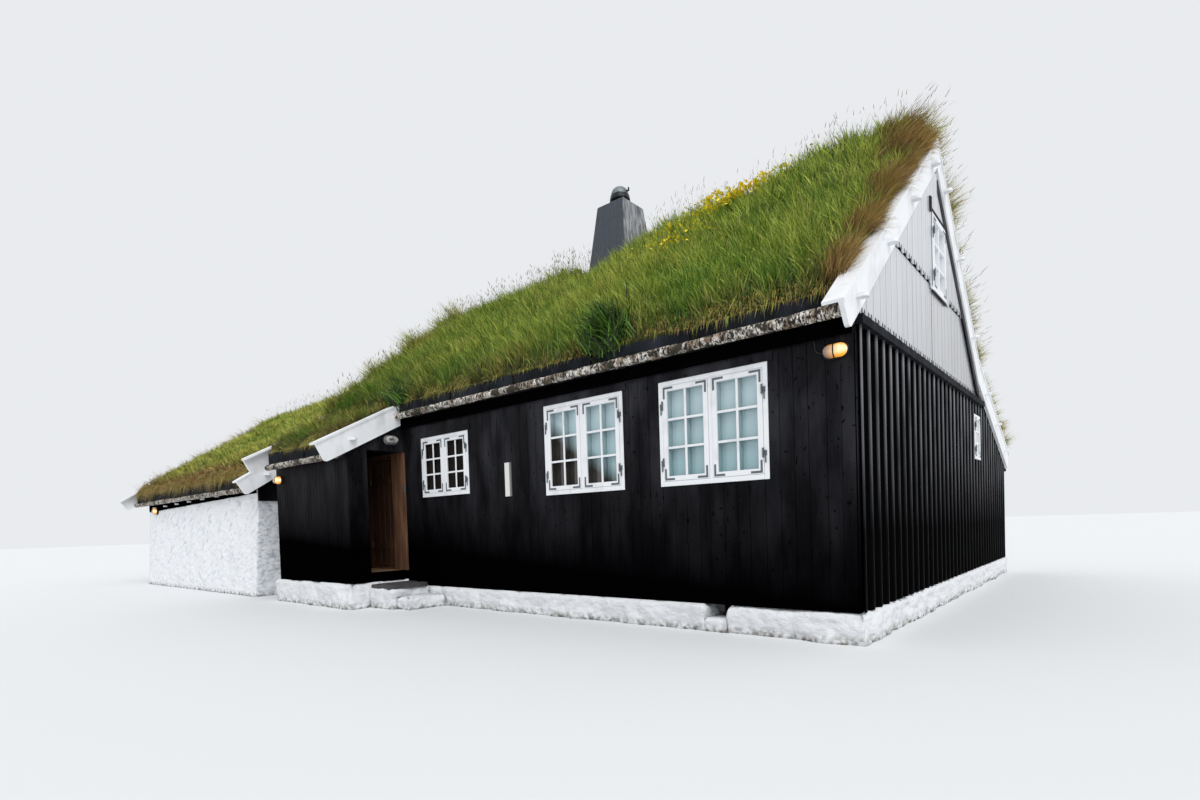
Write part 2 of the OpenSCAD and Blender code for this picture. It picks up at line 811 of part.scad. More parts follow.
module lobby_left_wall() {
    color("black") placed()
        lobby_slab(-main_len, lobby_t - main_len, lobby_front + lobby_t, 0, lobby_plinth_h);
}

module lobby_side_wall() {
    door_y = lobby_front + doorway_front;
    color("black") placed() {
        box(lobby_right - lobby_t, lobby_right, lobby_front + lobby_t, door_y, lobby_plinth_h, doorway_top);
        box(lobby_right - lobby_t, lobby_right, door_y, 0, lobby_plinth_h, floor_top);
    }
}

module over_doorway_wall() {
    color("black") placed()
        lobby_slab(lobby_right - lobby_t, lobby_right, lobby_front + lobby_t, 0, doorway_top);
}

module doorway_lining() {
    color("peru") placed()
        box(lobby_right - lining_d, lobby_right, -lining_t, 0, floor_top, doorway_top);
}

module lobby_deck() {
    color("saddlebrown") placed() along_x(-main_len - verge_x, lobby_right + verge_x,
        [[lobby_eave_y, lobby_in(lobby_eave_y)], [0, lobby_in(0)], [0, main_seat(0)],
         [lobby_back, main_seat(lobby_back)], [lobby_back, lobby_in(lobby_back) + deck_h],
         [lobby_eave_y, lobby_in(lobby_eave_y) + deck_h]]);
}

module lobby_turf() {
    low = [[lobby_eave_y, lobby_in(lobby_eave_y) + turf_low], [lobby_back, lobby_in(lobby_back) + turf_low]];
    color("olivedrab") placed() {
        along_x(-main_len - verge_x, lobby_right + verge_x, concat(low,
            [[lobby_back, lobby_seat(lobby_back) + face_h],
             [lobby_eave_y, lobby_seat(lobby_eave_y) + face_h]]));
        along_x(-main_len - verge_x + cap_in, lobby_right + verge_x - cap_in, concat(low,
            [[lobby_back, main_in(lobby_back) + deck_h + turf_h],
             [lobby_eave_y, lobby_in(lobby_eave_y) + deck_h + turf_h]]));
    }
}

module lobby_bargeboards() {
    color("white") placed() {
        rising_barge(lobby_right + verge_x, 1, lobby_cap_y, lobby_in(lobby_cap_y),
            lobby_back - seat, lobby_in(lobby_back - seat), lobby_barge_y, lobby_cleats);
        rising_barge(-main_len - verge_x, -1, lobby_cap_y, lobby_in(lobby_cap_y),
            lobby_barge_y, lobby_in(lobby_barge_y), lobby_barge_y, []);
    }
}

// Stone wing

module wing_front_wall() {
    color("white") placed() along_x(wing_left, wing_right,
        [[wing_front_y - batter, 0], [wing_front_y + stone_t, 0],
         [wing_front_y + stone_t, wing_seat(wing_front_y + stone_t)],
         [wing_front_y, wing_seat(wing_front_y)], [wing_front_y, batter_top]]);
}

module wing_return_wall() {
    color("white") placed() along_x(wing_right - stone_t, wing_right,
        [[wing_front_y + stone_t, 0], [link_y, 0], [link_y, wing_seat(link_y)],
         [wing_front_y + stone_t, wing_seat(wing_front_y + stone_t)]]);
}

module wing_link_wall() {
    color("white") placed() along_x(wing_right - stone_t, -main_len,
        [[link_y, 0], [link_y + stone_t, 0], [link_y + stone_t, wing_seat(link_y + stone_t)],
         [link_y, wing_seat(link_y)]]);
}

module wing_left_wall() {
    color("white") placed() box(wing_left, wing_left + stone_t, wing_front_y + stone_t,
        wing_back_y - stone_t, 0, wing_wall_h);
}

module wing_rear_wall() {
    color("white") placed() along_x(wing_left, -main_len,
        [[wing_back_y - stone_t, 0], [wing_back_y, 0], [wing_back_y, wing_seat(wing_back_y)],
         [wing_back_y - stone_t, wing_seat(wing_back_y - stone_t)]]);
}

module wing_gables() {
    y0 = wing_front_y + stone_t;
    y1 = wing_back_y - stone_t;
    color("black") placed() {
        along_x(wing_right, wing_right + wing_gable_t,
            [[wing_front_y, wing_gable_z], [link_y, wing_gable_z], [link_y, wing_seat(link_y)],
             [wing_front_y, wing_seat(wing_front_y)]]);
        along_x(wing_left, wing_left + gable_t,
            [[y0, wing_wall_h], [y1, wing_wall_h], [y1, wing_seat(y1)],
             [wing_ridge_y, wing_seat(wing_ridge_y)], [y0, wing_seat(y0)]]);
    }
}

module wing_sheet(lift, h, in) {
    ys = [wing_eave_y, wing_ridge_y, wing_rear_eave_y];
    yl = [link_y, wing_ridge_y, wing_rear_eave_y];
    low = [for (y = ys) [y, wing_in(y) + lift]];
    top = [for (i = [2 : -1 : 0]) [ys[i], wing_in(ys[i]) + lift + h]];
    low_l = [for (y = yl) [y, wing_in(y) + lift]];
    top_l = [for (i = [2 : -1 : 0]) [yl[i], wing_in(yl[i]) + lift + h]];
    along_x(wing_verge_left + in, wing_verge_right - in, concat(low, top));
    along_x(wing_verge_right - in, -main_len, concat(low_l, top_l));
}

module wing_deck() {
    color("saddlebrown") placed() wing_sheet(0, deck_h, 0);
}

module wing_turf() {
    color("olivedrab") placed() {
        wing_sheet(turf_low, turf_edge_h, 0);
        wing_sheet(turf_low, turf_h - seat, cap_in);
    }
}

module wing_bargeboards() {
    rear_end = 2 * wing_ridge_y - wing_cap_y;
    color("white") placed() {
        rising_barge(wing_verge_right, 1, wing_cap_y, wing_in(wing_cap_y), link_y, wing_in(link_y), link_y,
            wing_cleats);
        rising_barge(wing_verge_left, -1, wing_cap_y, wing_in(wing_cap_y), wing_ridge_y, wing_top,
            wing_ridge_y, []);
        rising_barge(wing_verge_left, -1, rear_end, wing_in(rear_end), wing_ridge_y, wing_top,
            wing_ridge_y, []);
    }
}

// Windows

module casement_panes(w, h, y0, y1, grow) {
    pane_w = (w - 2 * frame_w - mullion_w) / 2;
    for (x = [-w / 2 + frame_w, mullion_w / 2])
        box(x - grow, x + pane_w + grow, y0, y1, frame_w - grow, h - frame_w + grow);
}

module front_frame(x, w, z, h) {
    translate([-x, 0, z]) difference() {
        box(-w / 2, w / 2, -frame_proud, frame_d - frame_proud, 0, h);
        casement_panes(w, h, -wall_t, wall_t, 0);
    }
}

module front_panes(x, w, z, h) {
    translate([-x, frame_d - frame_proud, z]) casement_panes(w, h, 0, glass_t, glass_lap);
}

module front_windows() {
    color("white") placed() {
        front_frame(right_window_x, large_w, large_z, large_h);
        front_frame(centre_window_x, large_w, large_z, large_h);
        front_frame(small_window_x, small_w, small_z, small_h);
    }
}

module gable_frame(x, y, w, z, h, member) {
    difference() {
        box(x - frame_d, x, y - w / 2, y + w / 2, z, z + h);
        box(x - 2 * frame_d, x + frame_d, y - w / 2 + member, y + w / 2 - member, z + member, z + h - member);
    }
}

module gable_pane(x, y, w, z, h, member) {
    g = member - glass_lap;
    box(x - frame_d - glass_t, x - frame_d, y - w / 2 + g, y + w / 2 - g, z + g, z + h - g);
}

module gable_windows() {
    color("white") placed() {
        gable_frame(attic_x, attic_y, attic_w, attic_z, attic_h, attic_member);
        gable_frame(frame_proud, side_y, side_w, side_z, side_h, side_member);
    }
}

module front_glass() {
    color("lightblue") placed() {
        front_panes(right_window_x, large_w, large_z, large_h);
        front_panes(centre_window_x, large_w, large_z, large_h);
        front_panes(small_window_x, small_w, small_z, small_h);
    }
}

module gable_glass() {
    color("lightblue") placed() {
        gable_pane(attic_x, attic_y, attic_w, attic_z, attic_h, attic_member);
        gable_pane(frame_proud, side_y, side_w, side_z, side_h, side_member);
    }
}

// Chimney

module chimney() {
    color("black") placed() difference() {
        chimney_shaft(0);
        along_x(-main_len, 0, [[0, 0], [bend_y, 0], [bend_y, bend_z + turf_low],
            [ridge_y, ridge_z + turf_low], [0, main_in(0) + turf_low]]);
        box(-chimney_x - flue_w / 2, -chimney_x + flue_w / 2, ridge_y - flue_w / 2, ridge_y + flue_w / 2,
            ridge_z + deck_h + turf_h, chimney_top + eps);
    }
}

module cowl() {
    color("dimgray") placed() translate([-chimney_x, ridge_y, chimney_top]) {
        box(cowl_rim - chimney_w / 2, chimney_w / 2 - cowl_rim, cowl_rim - chimney_w / 2,
            chimney_w / 2 - cowl_rim, 0, cowl_slate_t);
        cylinder(r = cowl_neck_r, h = cowl_collar + eps);
        translate([0, 0, cowl_collar]) cylinder(r = cowl_r, h = cowl_drum);
        translate([0, 0, cowl_collar + cowl_drum]) intersection() {
            sphere(r = cowl_r - cowl_lip);
            translate([-cowl_r, -cowl_r, -eps]) cube(2 * cowl_r);
        }
    }
}

// Inner door

module hinge_at(z) {
    translate([pin_x, -pin_out, z]) children();
}

module door_frame() {
    color("peru") placed() {
        box(door_left, door_left + jamb_w, 0, wall_t, sill_top, door_top);
        box(door_right - jamb_w, door_right, 0, wall_t, sill_top, door_top);
        box(door_left, door_right, 0, wall_t, door_top, frame_top);
        box(door_left, door_right, 0, wall_t, plinth_h, sill_top);
        for (z = rail_zs) hinge_at(z + rail_h / 2) {
            translate([0, 0, -collar_h]) cylinder(r = knuckle_r, h = collar_h);
            cylinder(r = pin_r, h = knuckle_h + knuckle_gap + pin_r);
            box(-plate_l, 0, pin_out - strap_t, pin_out, -collar_h, 0);
        }
    }
}

module door_leaf() {
    color("sienna") placed() {
        box(leaf_left, leaf_right, 0, leaf_t, leaf_z0, leaf_z1);
        for (z = rail_zs) {
            box(leaf_left + rail_from_edge, leaf_right - rail_from_edge, -rail_t, 0, z, z + rail_h);
            hinge_at(z + rail_h / 2 + knuckle_gap) difference() {
                union() {
                    cylinder(r = knuckle_r, h = knuckle_h);
                    box(0, strap_l, pin_out - strap_t, pin_out, 0, knuckle_h);
                }
                translate([0, 0, -eps]) cylinder(r = pin_r + pin_clear, h = knuckle_h + 2 * eps);
            }
        }
    }
}

// Lamps and plaque

module stadium(l, h) {
    union() {
        square([l - h, h], center = true);
        translate([(h - l) / 2, 0]) circle(d = h);
        translate([(l - h) / 2, 0]) circle(d = h);
    }
}

module lamp() {
    rotate([90, 0, 0]) {
        linear_extrude(lamp_back) stadium(lamp_l, lamp_h);
        translate([0, 0, lamp_back]) linear_extrude(lamp_glass)
            stadium(lamp_l - 2 * lamp_rim, lamp_h - 2 * lamp_rim);
    }
}

module wall_lamps() {
    color("silver") placed() {
        translate([-front_lamp_x, 0, front_lamp_z]) lamp();
        translate([lobby_right, -doorway_lamp_y, doorway_lamp_z]) rotate([0, 0, 90]) lamp();
        translate([lobby_lamp_x - main_len, lobby_front, lobby_lamp_z]) lamp();
        translate([wing_left + wing_lamp_x, wing_front_y, wing_lamp_z]) lamp();
    }
}

module plaque() {
    color("white") placed() box(-plaque_x - plaque_w / 2, plaque_w / 2 - plaque_x, -plaque_t, 0,
        plaque_z, plaque_z + plaque_h);
}

front_plinth();
vent_sill();
side_plinths();
lobby_plinth();
door_step();
floors();
floor_joists();
front_wall();
over_door_wall();
iron_gable();
gable_ledge();
gable_boards_lower();
gable_boards_upper();
left_gable();
rear_wall();
deck_front();
deck_rear();
turf_front();
turf_rear();
bark_rolls();
turf_boards();
barge_right_front();
barge_right_rear();
barge_left();
lobby_front_wall();
lobby_left_wall();
lobby_side_wall();
over_doorway_wall();
lobby_deck();
lobby_turf();
lobby_bargeboards();
wing_front_wall();
wing_return_wall();
wing_link_wall();
wing_left_wall();
wing_rear_wall();
wing_gables();
wing_deck();
wing_turf();
wing_bargeboards();
front_windows();
gable_windows();
front_glass();
gable_glass();
chimney();
cowl();
door_frame();
door_leaf();
doorway_lining();
wall_lamps();
plaque();
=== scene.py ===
# Turf house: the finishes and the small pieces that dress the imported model.
# Lengths are metres. House coordinates: x runs along the front from its right corner, y goes back
# from the front wall, z goes up from the ground. makePiece moves them into the frame.
import itertools
import math
import bpy
import numpy as np
from mathutils import Matrix, Vector


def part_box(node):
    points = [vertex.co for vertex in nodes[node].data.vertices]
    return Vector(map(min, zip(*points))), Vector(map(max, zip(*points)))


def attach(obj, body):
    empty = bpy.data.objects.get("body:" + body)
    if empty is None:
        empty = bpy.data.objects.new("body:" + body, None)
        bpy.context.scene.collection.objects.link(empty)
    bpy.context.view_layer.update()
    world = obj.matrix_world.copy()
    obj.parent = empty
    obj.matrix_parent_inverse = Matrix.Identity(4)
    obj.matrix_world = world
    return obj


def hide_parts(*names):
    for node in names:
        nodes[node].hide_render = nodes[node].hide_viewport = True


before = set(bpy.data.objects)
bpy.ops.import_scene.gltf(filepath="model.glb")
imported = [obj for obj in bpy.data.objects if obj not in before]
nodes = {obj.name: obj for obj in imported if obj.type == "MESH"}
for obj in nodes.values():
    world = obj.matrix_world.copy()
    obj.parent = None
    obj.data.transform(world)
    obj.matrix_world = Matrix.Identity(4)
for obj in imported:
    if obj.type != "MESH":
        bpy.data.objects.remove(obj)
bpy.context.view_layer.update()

corner = np.array([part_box("iron_gable")[1].x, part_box("plaque")[1].y, 0.0])
added = []


def houseBox(node):
    # lowest and highest corner of a node, counted from the house corner
    return [np.array(point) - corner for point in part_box(node)]


def sideLine(node, pick):
    # the node seen from the side: the lowest or highest z at each y where it has corners
    mesh = nodes[node].data
    points = np.empty(len(mesh.vertices) * 3, np.float32)
    mesh.vertices.foreach_get("co", points)
    points = points.reshape(-1, 3) - corner
    ys = np.unique(points[:, 1].round(4))
    return np.array([ys, [pick(points[abs(points[:, 1] - y) < 1e-3, 2]) for y in ys]])


# Meshes

def makePiece(name, points, faces, finish, slot, replaced=(), body="house", smooth=False, marks=None):
    # a mesh from an array of points and arrays of faces; marks are values that its material reads
    mesh = bpy.data.meshes.new(name)
    sizes = np.concatenate([np.full(len(f), f.shape[1]) for f in faces])
    around = np.concatenate([f.ravel() for f in faces])
    mesh.vertices.add(len(points))
    mesh.vertices.foreach_set("co", (points + corner).astype(np.float32).ravel())
    mesh.loops.add(len(around))
    mesh.loops.foreach_set("vertex_index", around.astype(np.int32))
    mesh.polygons.add(len(sizes))
    mesh.polygons.foreach_set("loop_start", np.r_[0, np.cumsum(sizes)[:-1]].astype(np.int32))
    mesh.polygons.foreach_set("use_smooth", np.full(len(sizes), smooth))
    for key, values in (marks or {}).items():
        mark = mesh.attributes.new(key, "FLOAT_VECTOR", "POINT")
        mark.data.foreach_set("vector", values.astype(np.float32).ravel())
    mesh.update(calc_edges=True)
    mesh.materials.append(finish)
    piece = bpy.data.objects.new(name, mesh)
    bpy.context.scene.collection.objects.link(piece)
    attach(piece, body)
    if replaced:
        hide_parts(*replaced)
    added.append(piece)
    return piece


def soften(piece, width):
    # rounds the edges of hard blocks
    bevel = piece.modifiers.new("softEdges", "BEVEL")
    bevel.width = width
    bevel.segments = 1
    bevel.limit_method = "ANGLE"


def xyz(x, y, z):
    # coordinates side by side as points
    return np.stack(np.broadcast_arrays(x, y, z), -1)


def unit(vectors):
    # each vector divided by its length; the tiny addition guards a vector of no length
    return vectors / (np.linalg.norm(vectors, axis=-1, keepdims=True) + 1e-12)


def loft(loops):
    # closed loops of equal length joined in order by quads, with one flat face at each end
    rows, count = loops.shape[:2]
    index = np.arange(rows * count).reshape(rows, count)
    turned = np.roll(index, -1, 1)
    quads = np.stack([index[:-1], turned[:-1], turned[1:], index[1:]], -1).reshape(-1, 4)
    return loops.reshape(-1, 3), [quads, index[:1, ::-1], index[-1:]]


def joined(parts):
    # several lists of points and faces as one
    points, faces, start = [], [], 0
    for p, fs in parts:
        points.append(p)
        faces += [f + start for f in fs]
        start += len(p)
    return np.concatenate(points), faces


def circle(count):
    # angles once around, evenly spaced
    return np.linspace(0, 2 * math.pi, count, endpoint=False)


def pushOut(loops, amount):
    # each point moves along the normal: the way around crossed with the way along
    around = np.roll(loops, -1, 1) - np.roll(loops, 1, 1)
    return loops + unit(np.cross(around, np.gradient(loops, axis=0))) * amount[..., None]


def cellRandom(cells, seed):
    # a repeatable number from 0 to 1 for each whole-number cell: the fraction of a large sine
    weights = np.array([12.9898, 78.233, 37.719])[: cells.shape[-1]]
    return np.sin(cells @ weights + seed * 4.171) * 43758.5453 % 1.0


def ripple(points, size, seed):
    # smooth noise from -1 to 1: random values at the corners of a grid, blended by 3t^2 - 2t^3
    grid = points / size
    base = np.floor(grid)
    t = grid - base
    t = t * t * (3 - 2 * t)
    total = 0.0
    for step in itertools.product((0, 1), repeat=points.shape[-1]):
        share = np.prod(np.where(np.array(step) == 1, t, 1 - t), axis=-1)
        total = total + share * cellRandom(base + np.array(step), seed)
    return total * 2 - 1


def stoneGap(points, size, seed):
    # nearest stone and the next: each cell holds one stone centre at a random place in it, and
    # the difference of the two distances is 0 in a joint and grows towards the middle of a stone
    grid = points / size
    base = np.floor(grid)
    first = np.full(points.shape[:-1], 9.0)
    second = first.copy()
    for step in itertools.product((-1, 0, 1), repeat=points.shape[-1]):
        cell = base + np.array(step)
        centre = cell + np.stack([cellRandom(cell, seed + k) for k in range(points.shape[-1])], -1)
        far = np.linalg.norm(grid - centre, axis=-1)
        second = np.minimum(second, np.maximum(first, far))
        first = np.minimum(first, far)
    return second - first


# Walls that boards, windows and lamps are fixed to: the directions along and out of each side
sides = {"front": ((1.0, 0, 0), (0, -1.0, 0)), "right": ((0, 1.0, 0), (1.0, 0, 0)),
         "left": ((0, -1.0, 0), (-1.0, 0, 0))}


def wallPlane(side, x=0.0, y=0.0):
    # a wall's start, then its directions along, out and up
    return np.array([(x, y, 0.0), *sides[side], (0, 0, 1.0)])


def onWall(wall, a, d, z):
    # a along the wall, d out of it, z up
    return wall[0] + xyz(a, d, z) @ wall[1:]


frontWall, gableWall = wallPlane("front"), wallPlane("right")


def wallBlocks(wall, blocks):
    # blocks as rows of a0, a1, d0, d1, z0, z1
    blocks = np.array(blocks, float).reshape(-1, 6)
    a, d, z = blocks[:, None, [0, 1, 1, 0]], blocks[:, None, [2, 2, 3, 3]], blocks[:, [4, 5], None]
    block = np.array([[1, 2, 3, 0], [7, 6, 5, 4], [4, 5, 1, 0], [5, 6, 2, 1], [6, 7, 3, 2], [7, 4, 0, 3]])
    start = 8 * np.arange(len(blocks))[:, None, None]
    return onWall(wall, a, d, z).reshape(-1, 3), [(block + start).reshape(-1, 4)]


def planks(wall, strips, thick, edge):
    # upright boards with slanted edges: six points across, from the low line to the high line
    strips = np.array(strips, float)
    a0, a1, low0, low1, high0, high1 = strips.T
    across = np.stack([a0, a1, a1, a1 - edge, a0 + edge, a0], 1)
    outwards = np.array([0, 0, thick - edge, thick, thick, thick - edge])
    share = (across - a0[:, None]) / (a1 - a0)[:, None]
    low = low0[:, None] + share * (low1 - low0)[:, None]
    high = high0[:, None] + share * (high1 - high0)[:, None]
    points = np.stack([onWall(wall, across, outwards, z) for z in (low, high)], 1).reshape(-1, 3)
    start = 12 * np.arange(len(strips))[:, None, None]
    around = np.arange(6)
    after = (around + 1) % 6
    long = np.stack([around, around + 6, after + 6, after], -1)
    ends = np.array([around, around[::-1] + 6])
    return points, [(long + start).reshape(-1, 4), (ends + start).reshape(-1, 6)]


def boardStrips(a0, a1, width, low, high, holes=(), gap=0.002, seed=1, vary=0.12):
    # boards side by side with small gaps; a board that meets a hole is cut above, below and beside it
    count = max(1, round((a1 - a0) / width))
    edges = np.linspace(a0, a1, count + 1)
    edges[1:-1] += np.random.default_rng(seed).uniform(-vary, vary, count - 1) * width
    strips = []
    for left, right in zip(edges[:-1] + gap / 2, edges[1:] - gap / 2):
        blocking = [h for h in holes if h[0] < right and h[1] > left]
        for h in blocking:
            strips.append((left, right, low(left), low(right), h[2], h[2]))
            strips.append((left, right, h[3], h[3], high(left), high(right)))
            if left < h[0]:
                strips.append((left, h[0], h[2], h[2], h[3], h[3]))
            if right > h[1]:
                strips.append((h[1], right, h[2], h[2], h[3], h[3]))
        if not blocking:
            strips.append((left, right, low(left), low(right), high(left), high(right)))
    return [s for s in strips if max(s[4] - s[2], s[5] - s[3]) > 0.01]


def level(z):
    # a line of the same height z all along a wall
    return lambda a: z


# Materials

def linear(code):
    # an sRGB hex value as linear red, green, blue and full cover
    values = [int(code[i:i + 2], 16) / 255 for i in (1, 3, 5)]
    return tuple(v / 12.92 if v <= 0.04045 else ((v + 0.055) / 1.055) ** 2.4 for v in values) + (1.0,)


def addNode(tree, kind, inputs=(), **settings):
    # one node with its settings; an input is a hex colour, a value or a socket to link
    node = tree.nodes.new(kind)
    for key, value in settings.items():
        setattr(node, key, value)
    for key, value in dict(inputs).items():
        if isinstance(value, bpy.types.NodeSocket):
            tree.links.new(value, node.inputs[key])
        else:
            node.inputs[key].default_value = linear(value) if isinstance(value, str) else value
    return node


def newFinish(name, values):
    # a material with its shader's own sockets set; gives its node tree and object coordinates too
    finish = bpy.data.materials.new(name)
    finish.use_nodes = True
    tree = finish.node_tree
    for key, value in values.items():
        tree.nodes["Principled BSDF"].inputs[key].default_value = value
    return finish, tree, addNode(tree, "ShaderNodeTexCoord").outputs["Object"]


def patches(tree, place, millimetres, low, high, stretch=(1, 1, 1), detail=3.0):
    # soft patches of a real size, 0 below low and 1 above high, drawn out along an axis by stretch
    scale = tuple(1000 / millimetres / s for s in stretch)
    turned = addNode(tree, "ShaderNodeMapping", {"Vector": place, "Scale": scale}).outputs[0]
    noise = addNode(tree, "ShaderNodeTexNoise", {"Vector": turned, "Scale": 1.0, "Detail": detail}).outputs[0]
    return addNode(tree, "ShaderNodeMapRange", {"Value": noise, "From Min": low, "From Max": high}).outputs[0]


def rising(tree, place, weights, low, high):
    # 0 to 1 along a slanted line: the house coordinates weighted and added, spread from low to high
    shift = float(np.dot(weights, corner))
    run = addNode(tree, "ShaderNodeVectorMath", {0: place, 1: weights}, operation="DOT_PRODUCT")
    reach = {"Value": run.outputs["Value"], "From Min": low + shift, "From Max": high + shift}
    return addNode(tree, "ShaderNodeMapRange", reach).outputs[0]


def carried(tree, mark):
    # the three values that each point of a piece carries under this name
    values = addNode(tree, "ShaderNodeAttribute", attribute_name=mark).outputs["Vector"]
    return addNode(tree, "ShaderNodeSeparateXYZ", {0: values}).outputs


def overlap(tree, first, *others):
    # the share that several shares have in common: their product
    for other in others:
        first = addNode(tree, "ShaderNodeMath", {0: first, 1: other}, operation="MULTIPLY").outputs[0]
    return first


def coats(tree, colour, *layers):
    # a colour with others laid over it in turn: (1 - share) of what is there and share of the next
    for share, over in layers:
        mixed = addNode(tree, "ShaderNodeMix", {0: share, 6: colour, 7: over}, data_type="RGBA")
        colour = mixed.outputs[2]
    return colour


def surface(finish, colour, height=None, depth=0.001, strength=1.0, **sockets):
    # links the colour and other sockets, and a bump whose full height is depth, to the shader
    tree = finish.node_tree
    links = {"Base Color": colour, **sockets}
    if height is not None:
        bump = addNode(tree, "ShaderNodeBump", {"Height": height, "Distance": depth, "Strength": strength})
        links["Normal"] = bump.outputs[0]
    for key, value in links.items():
        tree.links.new(value, tree.nodes["Principled BSDF"].inputs[key])
    return finish


def tarredWood(name, dark, mid, pale, values, fade=None):
    # boards under many coats of black wood tar: a satin skin over fine upright grain, with dusty
    # patches and black knots; a fade, where given, paints light and shade: near black and without gloss
    # low down as painted shade, the boards' own colour, gloss and dust higher up and towards the right as
    # painted sheen
    finish, tree, place = newFinish(name, values)
    grain = patches(tree, place, 7, 0.3, 0.7, (1, 1, 40), 4)
    dust = patches(tree, place, 260, 0.42, 0.8, (1, 1, 3.5), 6)
    knots = patches(tree, place, 42, 0.74, 0.77, (1, 1, 1.3), 0)
    colour = coats(tree, dark, (grain, mid))
    sockets = {}
    if fade:
        # painted light: the fade darkens the boards to near black and takes their gloss and dust away low
        # down
        light = rising(tree, place, *fade)
        dust = overlap(tree, dust, light)
        colour = coats(tree, "#020203", (light, colour))
        sockets["Specular IOR Level"] = overlap(tree, light, values["Specular IOR Level"])
    colour = coats(tree, colour, (dust, pale), (knots, "#020202"))
    return surface(finish, colour, grain, 0.0012, 0.6, **sockets)


def glossBoards(name):
    # black boards under gloss varnish, with the sky's reflection painted into their colour: silver grey
    # high up at the front, darker towards the low back corner, with faint upright streaks
    finish, tree, place = newFinish(name, {"Roughness": 0.3, "IOR": 1.5, "Coat Weight": 1.0,
                                           "Coat Roughness": 0.18, "Coat IOR": 1.6})
    grain = patches(tree, place, 9, 0.3, 0.7, (1, 1, 40), 4)
    streak = patches(tree, place, 120, 0.35, 0.75, (1, 1, 12), 5)
    # painted reflection: the share of the silver grey that stands in for the mirrored sky
    sky = rising(tree, place, (0.0, -0.60, 1.0), -1.2, 3.2)
    streaked = coats(tree, "#131417", (sky, "#b2b4b9"))
    colour = coats(tree, "#1b1c20", (sky, "#ced0d4"), (streak, streaked))
    return surface(finish, colour, grain, 0.0010, 0.5)


def plainWood(name, dark, light, values, width=9):
    # planed boards: grain lines a few millimetres apart, drawn out along the board
    finish, tree, place = newFinish(name, values)
    grain = patches(tree, place, width, 0.3, 0.7, (1, 1, 30), 5)
    stain = patches(tree, place, 180, 0.35, 0.8, (1, 1, 3))
    return surface(finish, coats(tree, dark, (grain, light), (stain, dark)), grain, 0.001, 0.5)


def whitePaint(name):
    # brushed white oil paint on planed wood: satin, faint brush grain, a little grey weather stain
    finish, tree, place = newFinish(name, {"Roughness": 0.42, "IOR": 1.48})
    brush = patches(tree, place, 5, 0.3, 0.7, (12, 12, 1))
    stain = patches(tree, place, 220, 0.52, 0.8, (1, 1, 1.5), 7)
    return surface(finish, coats(tree, "#eceef0", (stain, "#cfd1d2")), brush, 0.0004, 0.5)


def limewash(name):
    # thick limewash brushed over rubble stone: matt and chalky, with faint slanting grey patches painted as
    # the shade of dents, bluish grey blotches on the short return wall, a little greyer on the house's plinth
    # and soiled at the foot
    finish, tree, place = newFinish(name, {"Roughness": 0.93, "IOR": 1.45, "Specular IOR Level": 0.2})
    grit = patches(tree, place, 75, 0.3, 0.7, (1.5, 1.5, 1), detail=5)
    turned = addNode(tree, "ShaderNodeVectorRotate", {"Vector": place, "Angle": 0.5}, rotation_type="Y_AXIS")
    # painted shade: the grey patches stand in for the shade in dents of the lumpy wall
    paintedDentShade = patches(tree, turned.outputs[0], 100, 0.27, 0.46, (1.7, 1.7, 0.7), detail=5)
    rough = patches(tree, turned.outputs[0], 62, 0.34, 0.48, (1.6, 1.6, 0.8), detail=5)
    stain = patches(tree, place, 260, 0.5, 0.85, detail=7)
    foot = rising(tree, place, (0.0, 0.0, 1.0), 0.10, 0.0)
    soiled = overlap(tree, foot, patches(tree, place, 60, 0.42, 0.62, detail=6))
    plinth = rising(tree, place, (1.0, 0.0, -1.0), -9.9, -9.6)
    onReturn = overlap(tree, rising(tree, place, (1.0, 0.0, 0.0), -10.285, -10.26),
                       rising(tree, place, (-1.0, 0.0, 0.0), 10.10, 10.2))
    roughSkin = coats(tree, "#b2b8c2", (rough, "#e6e9ec"))
    colour = coats(tree, "#c8ccd2", (paintedDentShade, "#eceef0"), (onReturn, roughSkin), (stain, "#dfe2e5"),
                   (plinth, "#e0e2e4"), (soiled, "#6b6459"))
    return surface(finish, colour, grit, 0.02, 0.9)


def splitSlate(name, dark, light, values, size=30):
    # split dark stone: layered, rough, with paler worn patches
    finish, tree, place = newFinish(name, values)
    layers = patches(tree, place, size, 0.3, 0.75, (1, 1, 0.3), 6)
    worn = patches(tree, place, size * 5, 0.45, 0.75, detail=6)
    return surface(finish, coats(tree, dark, (layers, light), (worn, light)), layers, 0.004, 0.7)


def turfSoil(name):
    # matted roots and moss under the grass: dark green and brown, very rough
    finish, tree, place = newFinish(name, {"Roughness": 0.98, "IOR": 1.4})
    moss = patches(tree, place, 90, 0.35, 0.65, detail=6)
    tufts = patches(tree, place, 14, 0.3, 0.7, detail=5)
    colour = coats(tree, "#26300f", (tufts, coats(tree, "#4a5a24", (moss, "#5a5230"))))
    return surface(finish, colour, tufts, 0.02, 1.0)


def grassBlades(name):
    # grass blades and straw: green to yellow green by the blade's tone, straw by its dryness, near black
    # towards the root as painted shade under the blades; a waxy skin with a soft gloss
    finish, tree, place = newFinish(name, {"Roughness": 0.5, "IOR": 1.4})
    rise, tone, dry = carried(tree, "growth")
    green = coats(tree, "#477c10", (tone, "#e0ef66"))
    straw = coats(tree, "#6f3f26", (tone, "#cda566"))
    paintedRootShade = coats(tree, "#141f06", (dry, "#2a1c10"))
    return surface(finish, coats(tree, paintedRootShade, (rise, coats(tree, green, (dry, straw)))))


